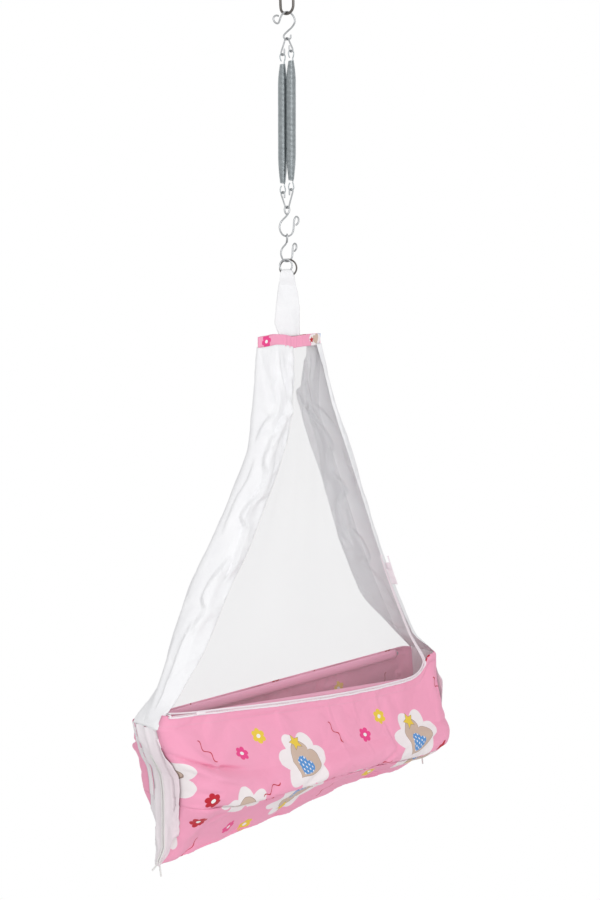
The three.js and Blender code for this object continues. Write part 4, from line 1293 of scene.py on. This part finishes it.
for name in ("front", "back"):
    node = "rim_hem_" + name
    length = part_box(node)[1].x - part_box(node)[0].x
    hem = cloth_grid(node + "_cloth", 120, 20, hem_place(node), (length, hem_width), hem_corner, joined=True)
    thicken(hem, hem_cloth)
    place_piece(hem, printed_cotton, "printed_cotton", "cradle", node)
    wall = bag_pieces["wall_" + name]
    "rim_rod_" + name
    "rim_hem_" + name + "_cloth"
    print(hem.name, "is", round(length, 3), "m long")

# %% [markdown]
# ## Strips down the ends of the bag
# A white strip closes each end of the bag from the rim to the tie under it. It is widest where the bag
# is fullest and is gathered to a point below. Each of its points is pushed against the walls behind it
# by a ray along the bag, so the strip lies on them and bridges the gap between.

# %% Strips
strip_lift = 3.4 * millimetre
strip_front_rows = [(0, 0.031), (0.1, 0.033), (0.19, 0.038), (0.26, 0.05), (0.36, 0.048), (0.68, 0.035),
                    (0.88, 0.017), (1, 0.005)]
strip_back_rows = [(0, 0.033), (0.2, 0.04), (0.36, 0.043), (0.7, 0.041), (0.93, 0.02), (1, 0.008)]
strip_flat = (0.088, bag_height * 1.02)
strip_reach = 60 * millimetre
strip_sink = 1 * millimetre
main_fold = 0.0032
back_fold = 0.0024
strip_crumple = 0.002
strip_crumple_size = 0.04
strip_below = 0.002
bag_surface = surface_of(bag_pieces["wall_front"], bag_pieces["wall_back"], bottom)
strip_samples = [k * millimetre for k in (-7, -4, -2, 0, 2, 4, 7)]

def bag_end_at(end, edge, y, z):
    """Where a ray along the bag meets its end at this depth and height."""
    start, inwards = Vector((edge + end * strip_reach, y, z)), Vector((-end, 0, 0))
    hit = bag_surface.ray_cast(start, inwards, 2 * strip_reach)[0]
    return hit.x if hit else edge - end * strip_reach * 0.3

def strip_place(end):
    lowest = rim - through(keel_rows, 0 if end < 0 else 1) - strip_below

    def place(u, v):
        z = mix(lowest, rim, v)
        share = 1 - v
        across = 2 * u - 1 if end > 0 else 1 - 2 * u
        y = across * through(strip_back_rows if across > 0 else strip_front_rows, share)
        edge = tip(end, z)
        # an average over the neighbourhood carries the cloth over small steps
        x = sum(bag_end_at(end, edge, y + dy, z) for dy in strip_samples) / len(strip_samples)
        x = end * max(end * x, end * bag_end_at(end, edge, y, z))
        if end > 0:
            x = max(x, edge - strip_sink)
        elif abs(y) < end_half * 0.8:
            x = min(x, edge + strip_sink)
        fold = main_fold * bell(across + 0.12, 0.16) + back_fold * bell(across - 0.62, 0.12)
        fold += strip_crumple * unevenness(y, z, 31.0 + end, strip_crumple_size)
        return Vector((x + end * (strip_lift + max(0.0, fold) * smooth(v, 0, 0.1)), y, z))
    return place

for name, end in (("left", -1), ("right", 1)):
    strip = cloth_grid("bag_end_" + name + "_cloth", 30, 90, strip_place(end), strip_flat)
    let_buckle(strip, growth=0.012, most=0.002, inwards=0.0004)
    thicken(strip, end_cloth)
    place_piece(strip, strip_cotton_painted_light, "white_cotton", "cradle", "bag_end_" + name)
    "net_end_" + name + "_cloth"

# %% [markdown]
# ## Tie cords
# A thin cord runs up each end of the bag and back down, and its two loose ends hang under it. It is
# laid of three strands, so three thin wires are wound round one path, a third of a turn apart.

# %% Tie cords
cord_diameter = 3.4 * millimetre
cord_spread = 6 * millimetre
cord_top = 62 * millimetre
cord_tail = 28 * millimetre
cord_out = 5 * millimetre
cord_rise = 7 * millimetre
strand_pitch = 9 * millimetre
cord_steps = 10
strand_off_share = 0.27
strand_share = 0.5
long_tail_shares = [(0, -1, 1), (0, -0.6, 0.5)]
short_tail_shares = [(0.4, 1, 0.4), (1.2, 1.8, 0.7)]

def cord_path(end):
    cord_bottom = rim - through(keel_rows, 0 if end < 0 else 1) + cord_rise

    def at(z, y):
        return Vector((tip(end, z) + end * cord_out, y, z))
    heights = [mix(rim - cord_top, cord_bottom, k / cord_steps) for k in range(cord_steps + 1)]
    up = [at(z, -cord_spread / 2) for z in reversed(heights)]
    down = [at(z, cord_spread / 2) for z in heights]
    top = at(heights[0] + cord_spread * 0.7, 0)
    base = tip(end, cord_bottom) + end * cord_out

    def tail(rows):
        return [Vector((base + end * cord_spread * a, cord_spread * b, cord_bottom - cord_tail * c))
                for a, b, c in rows]
    return smooth_between(tail(long_tail_shares) + up + [top] + down + tail(short_tail_shares), 14)

def twisted(name, path, diameter, pitch, strands=3):
    """Strands wound round a path, joined in one mesh."""
    made = []
    for strand in range(strands):
        run, points = 0.0, []
        for i, spot in enumerate(path):
            ahead = (path[min(len(path) - 1, i + 1)] - path[max(0, i - 1)]).normalized()
            side = ahead.cross(Vector((0, 1, 0.01))).normalized()
            angle = 2 * math.pi * (run / pitch + strand / strands)
            off = side * math.cos(angle) + ahead.cross(side) * math.sin(angle)
            points.append(spot + off * diameter * strand_off_share)
            if i + 1 < len(path):
                run += (path[i + 1] - spot).length
        made.append(wire(name, points, diameter * strand_share, 1))
    bm = bmesh.new()
    for strand in made:
        bm.from_mesh(strand.data)
        bpy.data.objects.remove(strand)
    return object_from(name, bm)

for name, end in (("left", -1), ("right", 1)):
    path = cord_path(end)
    cord = twisted("tie_cord_" + name + "_twist", path, cord_diameter, strand_pitch)
    place_piece(cord, tie_cotton, "tie_cotton", "cradle", "tie_cord_" + name)
    length = sum((b - a).length for a, b in zip(path, path[1:]))
    print(cord.name, "is", round(length, 3), "m long and has", len(cord.data.polygons), "faces")

# %% [markdown]
# ## Zip
# The zip follows the front rim, turns the corner and climbs the net. Its line is found by casting
# rays at the finished cloth, so the tapes lie on net and wall wherever those ended up. The teeth
# are one small block repeated along the line, each a little to one side of the last.

# %% Zip line
zip_start_share = 0.008
zip_corner_shares = [(0.85, 1), (0.885, 0.97), (0.91, 0.86), (0.926, 0.7), (0.934, 0.52), (0.933, 0.32)]
zip_rise = 235 * millimetre
zip_skin = 0.8 * millimetre
tooth_pitch = 2 * millimetre
tooth_size = (1.1 * millimetre, 1.5 * millimetre, 2.2 * millimetre)
tooth_sway = 0.3 * millimetre
tooth_bevel = 0.22 * millimetre
tape_width = 3 * millimetre
tape_cloth = 0.5 * millimetre
well_in_front = 0.3
front_surface = surface_of(net_pieces[-1], bag_pieces["wall_front"])

def front_spot(x, z):
    """The place on the front of the cloth at this length and height."""
    hit = front_surface.ray_cast(Vector((x, -well_in_front, z)), Vector((0, 1, 0)))[0]
    return hit or Vector((x, -rim_half, z))

def zip_line():
    """Places along the zip, a tooth apart."""
    turn_share, low = zip_corner_shares[0][0], rim - front_drop
    shares = [mix(zip_start_share, turn_share, k / 16) for k in range(16)]
    shares = [(u, front_rim(u)) for u in shares]
    shares += [(u, low + (1 - s) * (front_rise + front_drop)) for u, s in zip_corner_shares]
    start, edge = shares[-1][1], shares[-1][0]
    shares += [(edge, mix(start, rim + zip_rise, k / 8)) for k in range(1, 9)]
    fine = smooth_between([Vector((across_at(u, z), 0, z)) for u, z in shares], 20)
    line, left = [fine[0]], tooth_pitch
    for a, b in zip(fine, fine[1:]):
        step = (b - a).length
        while step >= left:
            a = a.lerp(b, left / step)
            line.append(a)
            step, left = (b - a).length, tooth_pitch
        left -= step
    return line

zip_places = zip_line()
zip_length = tooth_pitch * (len(zip_places) - 1)

def zip_frame(i):
    """The run of the zip at a place and the direction across it, both in the front's plane."""
    run = zip_places[min(len(zip_places) - 1, i + 2)] - zip_places[max(0, i - 2)]
    run.normalize()
    return run, Vector((-run.z, 0, run.x))

def on_zip(i, away, out):
    spot = zip_places[i] + zip_frame(i)[1] * away
    return front_spot(spot.x, spot.z) - Vector((0, zip_skin + out, 0))

print("zip length in metres:", round(zip_length, 3), "teeth:", len(zip_places))

# %% Zip pieces
def tape_place(near, far):
    def place(u, v):
        return on_zip(round(u * (len(zip_places) - 1)), mix(near, far, v), tape_cloth)
    return place

half_tooth = tooth_size[2] / 2
tape_edges = (("net", half_tooth, half_tooth + tape_width), ("wall", -half_tooth - tape_width, -half_tooth))
for name, near, far in tape_edges:
    tape = cloth_grid("zip_tape_" + name + "_woven", len(zip_places) - 1, 3, tape_place(near, far),
                      (zip_length, tape_width))
    thicken(tape, tape_cloth)
    place_piece(tape, zip_tape, "zip_nylon", "cradle", "zip_tape_" + name)

def block(bm, spot, run, side, size):
    """A block with its length, thickness and width along the run, outwards and across."""
    turn = Matrix((run, run.cross(side), side)).transposed().to_4x4()
    bmesh.ops.create_cube(bm, size=1, matrix=Matrix.Translation(spot) @ turn @ Matrix.Diagonal((*size, 1)))

bm = bmesh.new()
for i in range(len(zip_places)):
    run, side = zip_frame(i)
    sideways = tooth_sway * (-1) ** i
    block(bm, on_zip(i, sideways, tooth_size[1] * 0.35), run, side, tooth_size)
teeth = object_from("zip_teeth_row", bm)
add_modifier(teeth, "BEVEL", width=tooth_bevel, segments=1)
place_piece(teeth, zip_nylon, "zip_nylon", "cradle", "zip_teeth")
print("teeth faces before bevel:", len(teeth.data.polygons))

# %% Slider and stops
def centre_of(node):
    low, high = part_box(node)
    return (low + high) / 2

body_size = (11.6 * millimetre, 2.2 * millimetre, 7.6 * millimetre)
bridge_size = (5 * millimetre, 1.6 * millimetre, 2 * millimetre)
pull_size = (15 * millimetre, 1.1 * millimetre, 4.4 * millimetre)
stop_size = (3 * millimetre, 2.4 * millimetre, 5.4 * millimetre)
bridge_rise = 1.5 * millimetre
stop_rise = 1.4 * millimetre
slider_bevel = 0.5 * millimetre
stop_bevel = 0.6 * millimetre
narrowing_share = 0.3
slide_run = zip_frame(len(zip_places) // 4)[0]
slide_side = Vector((-slide_run.z, 0, slide_run.x))
out_side = Vector((0, -1, 0))
bm = bmesh.new()
body = centre_of("zip_slider")
block(bm, body, slide_run, slide_side, body_size)
for vert in bm.verts:
    # narrower ahead, towards the closed part of the zip
    ahead_by = (vert.co - body).dot(slide_run)
    vert.co -= slide_side * (vert.co - body).dot(slide_side) * (narrowing_share if ahead_by > 0 else 0.0)
block(bm, body + out_side * bridge_rise, slide_run, slide_side, bridge_size)
block(bm, centre_of("zip_pull"), slide_run, slide_side, pull_size)
slider = object_from("zip_slider_body", bm)
add_modifier(slider, "BEVEL", width=slider_bevel, segments=3)
place_piece(slider, zip_nylon, "zip_nylon", "slider", "zip_slider", "zip_pull")

for name, i in (("start", 0), ("end", len(zip_places) - 1)):
    bm = bmesh.new()
    run, side = zip_frame(i)
    block(bm, on_zip(i, 0.0, stop_rise), run, side, stop_size)
    stop = object_from("zip_stop_" + name + "_block", bm)
    add_modifier(stop, "BEVEL", width=stop_bevel, segments=3)
    place_piece(stop, zip_nylon, "zip_nylon", "cradle", "zip_stop_" + name)
print("the slider sits at", [round(x, 3) for x in body])

# %% [markdown]
# ## Mattress
# The pad is a stuffed cover, so it starts as the frame's solid and is blown up from inside: an even
# remesh, a little air pressure in a cloth simulation, and a limit on how far any point may move.

# %% Mattress
mattress_slack = 4 * millimetre
mattress_swell = 7 * millimetre
mattress_mesh = 7 * millimetre

def mattress_pad():
    bm = bmesh.new()
    bm.from_mesh(nodes["mattress"].data)
    bmesh.ops.remove_doubles(bm, verts=bm.verts, dist=merge_distance)
    bm.normal_update()
    for vert in bm.verts:
        vert.co -= vert.normal * mattress_slack
    piece = object_from("mattress_pad", bm)
    add_modifier(piece, "REMESH", mode="VOXEL", voxel_size=mattress_mesh)
    bpy.context.view_layer.objects.active = piece
    bpy.ops.object.modifier_apply(modifier=piece.modifiers[0].name)
    let_settle(piece, mattress_swell, frames=14, quality=5, tension_stiffness=8, use_pressure=True,
               uniform_pressure_force=3)
    add_modifier(piece, "SUBSURF", levels=1, render_levels=1)
    place_piece(piece, mattress_cover, "mattress_cover", "cradle", "mattress")
    print("mattress has", len(piece.data.polygons), "faces")

mattress_pad()

# %% Finishes of the frame's own pieces
own_finish = [
    ("rim_rod_front", bright_steel, "bright_steel"), ("rim_rod_back", bright_steel, "bright_steel"),
    ("band_lath", lath_wood, "lath_wood"),
]
for node, finish, slot in own_finish:
    nodes[node].data.materials.clear()
    nodes[node].data.materials.append(finish)
    print(node, "keeps its shape and gets", finish.name)

# %% [markdown]
# ## Floor and light
# The cradle hangs over a pale floor in a white room. The world is white to the camera and to what
# reflects or passes light, but gives the cloth only a plain level, so that white cloth keeps its
# folds. The floor fades into the white a little way out. Two large soft lamps add the direction: a
# main one from the front left and a weak one from the far left.

# %% Floor and light
floor_height = -2.05
floor_half = 6.0
fade_near = 0.3
fade_far = 0.62
fade_most = 0.45
white = (1, 1, 1)
plain_level = (0.7, 0.7, 0.705)

def show_white(nodes, strong, plain):
    """Gives the lens, gloss and glass one shader to see, and everything else a plain one."""
    lens, gloss, glass = [nodes.node("ShaderNodeLightPath", None, None, "Is " + ray + " Ray")
                          for ray in ("Camera", "Glossy", "Transmission")]
    seen = lens.maths("MAXIMUM", gloss).maths("MAXIMUM", glass)
    nodes.put(nodes.surface, nodes.node("ShaderNodeMixShader", None, {0: seen, 1: plain, 2: strong}))

world = bpy.data.worlds.new("room")
bpy.context.scene.world = world
air = Nodes(world, "ShaderNodeOutputWorld")
views = [air.node("ShaderNodeBackground", None, {"Color": colour}) for colour in (white, plain_level)]
show_white(air, *views)

def floor_material():
    finish = Finish("floor", Roughness=0.95, Base_Color=(0.88, 0.88, 0.88))
    x, y = finish.first_two(finish.solid_place())
    far = ((x * x + y * y).maths("SQRT") - fade_near).maths("DIVIDE", fade_far - fade_near, clamp=True)
    glow = finish.node("ShaderNodeEmission", None, {"Color": white})
    faded = finish.node("ShaderNodeMixShader", None, {
        0: far * fade_most + (1 - fade_most), 1: finish.lit, 2: glow})
    show_white(finish, faded, finish.lit)
    return finish.material

bm = bmesh.new()
bmesh.ops.create_grid(bm, x_segments=8, y_segments=8, size=floor_half)
for vert in bm.verts:
    vert.co.z = floor_height
floor = object_from("floor", bm)
floor.data.materials.append(floor_material())

bag_centre = Vector((0.03, 0, -1.3))
# each lamp's place from there, its watts, width and height
lamps = [("main lamp", (-1.2, -1.9, 1.1), 20, 1.3, 1.8), ("side lamp", (-2.2, -0.7, 0.3), 2.2, 1.0, 1.8)]
for name, away, power, wide, high in lamps:
    data = bpy.data.lights.new(name, "AREA")
    data.shape = "RECTANGLE"
    data.size, data.size_y, data.energy = wide, high, power
    made = bpy.data.objects.new(name, data)
    made.location = bag_centre + Vector(away)
    made.rotation_euler = (bag_centre - made.location).to_track_quat("-Z", "Y").to_euler()
    bpy.context.collection.objects.link(made)
print("floor at", floor_height, "with two lamps")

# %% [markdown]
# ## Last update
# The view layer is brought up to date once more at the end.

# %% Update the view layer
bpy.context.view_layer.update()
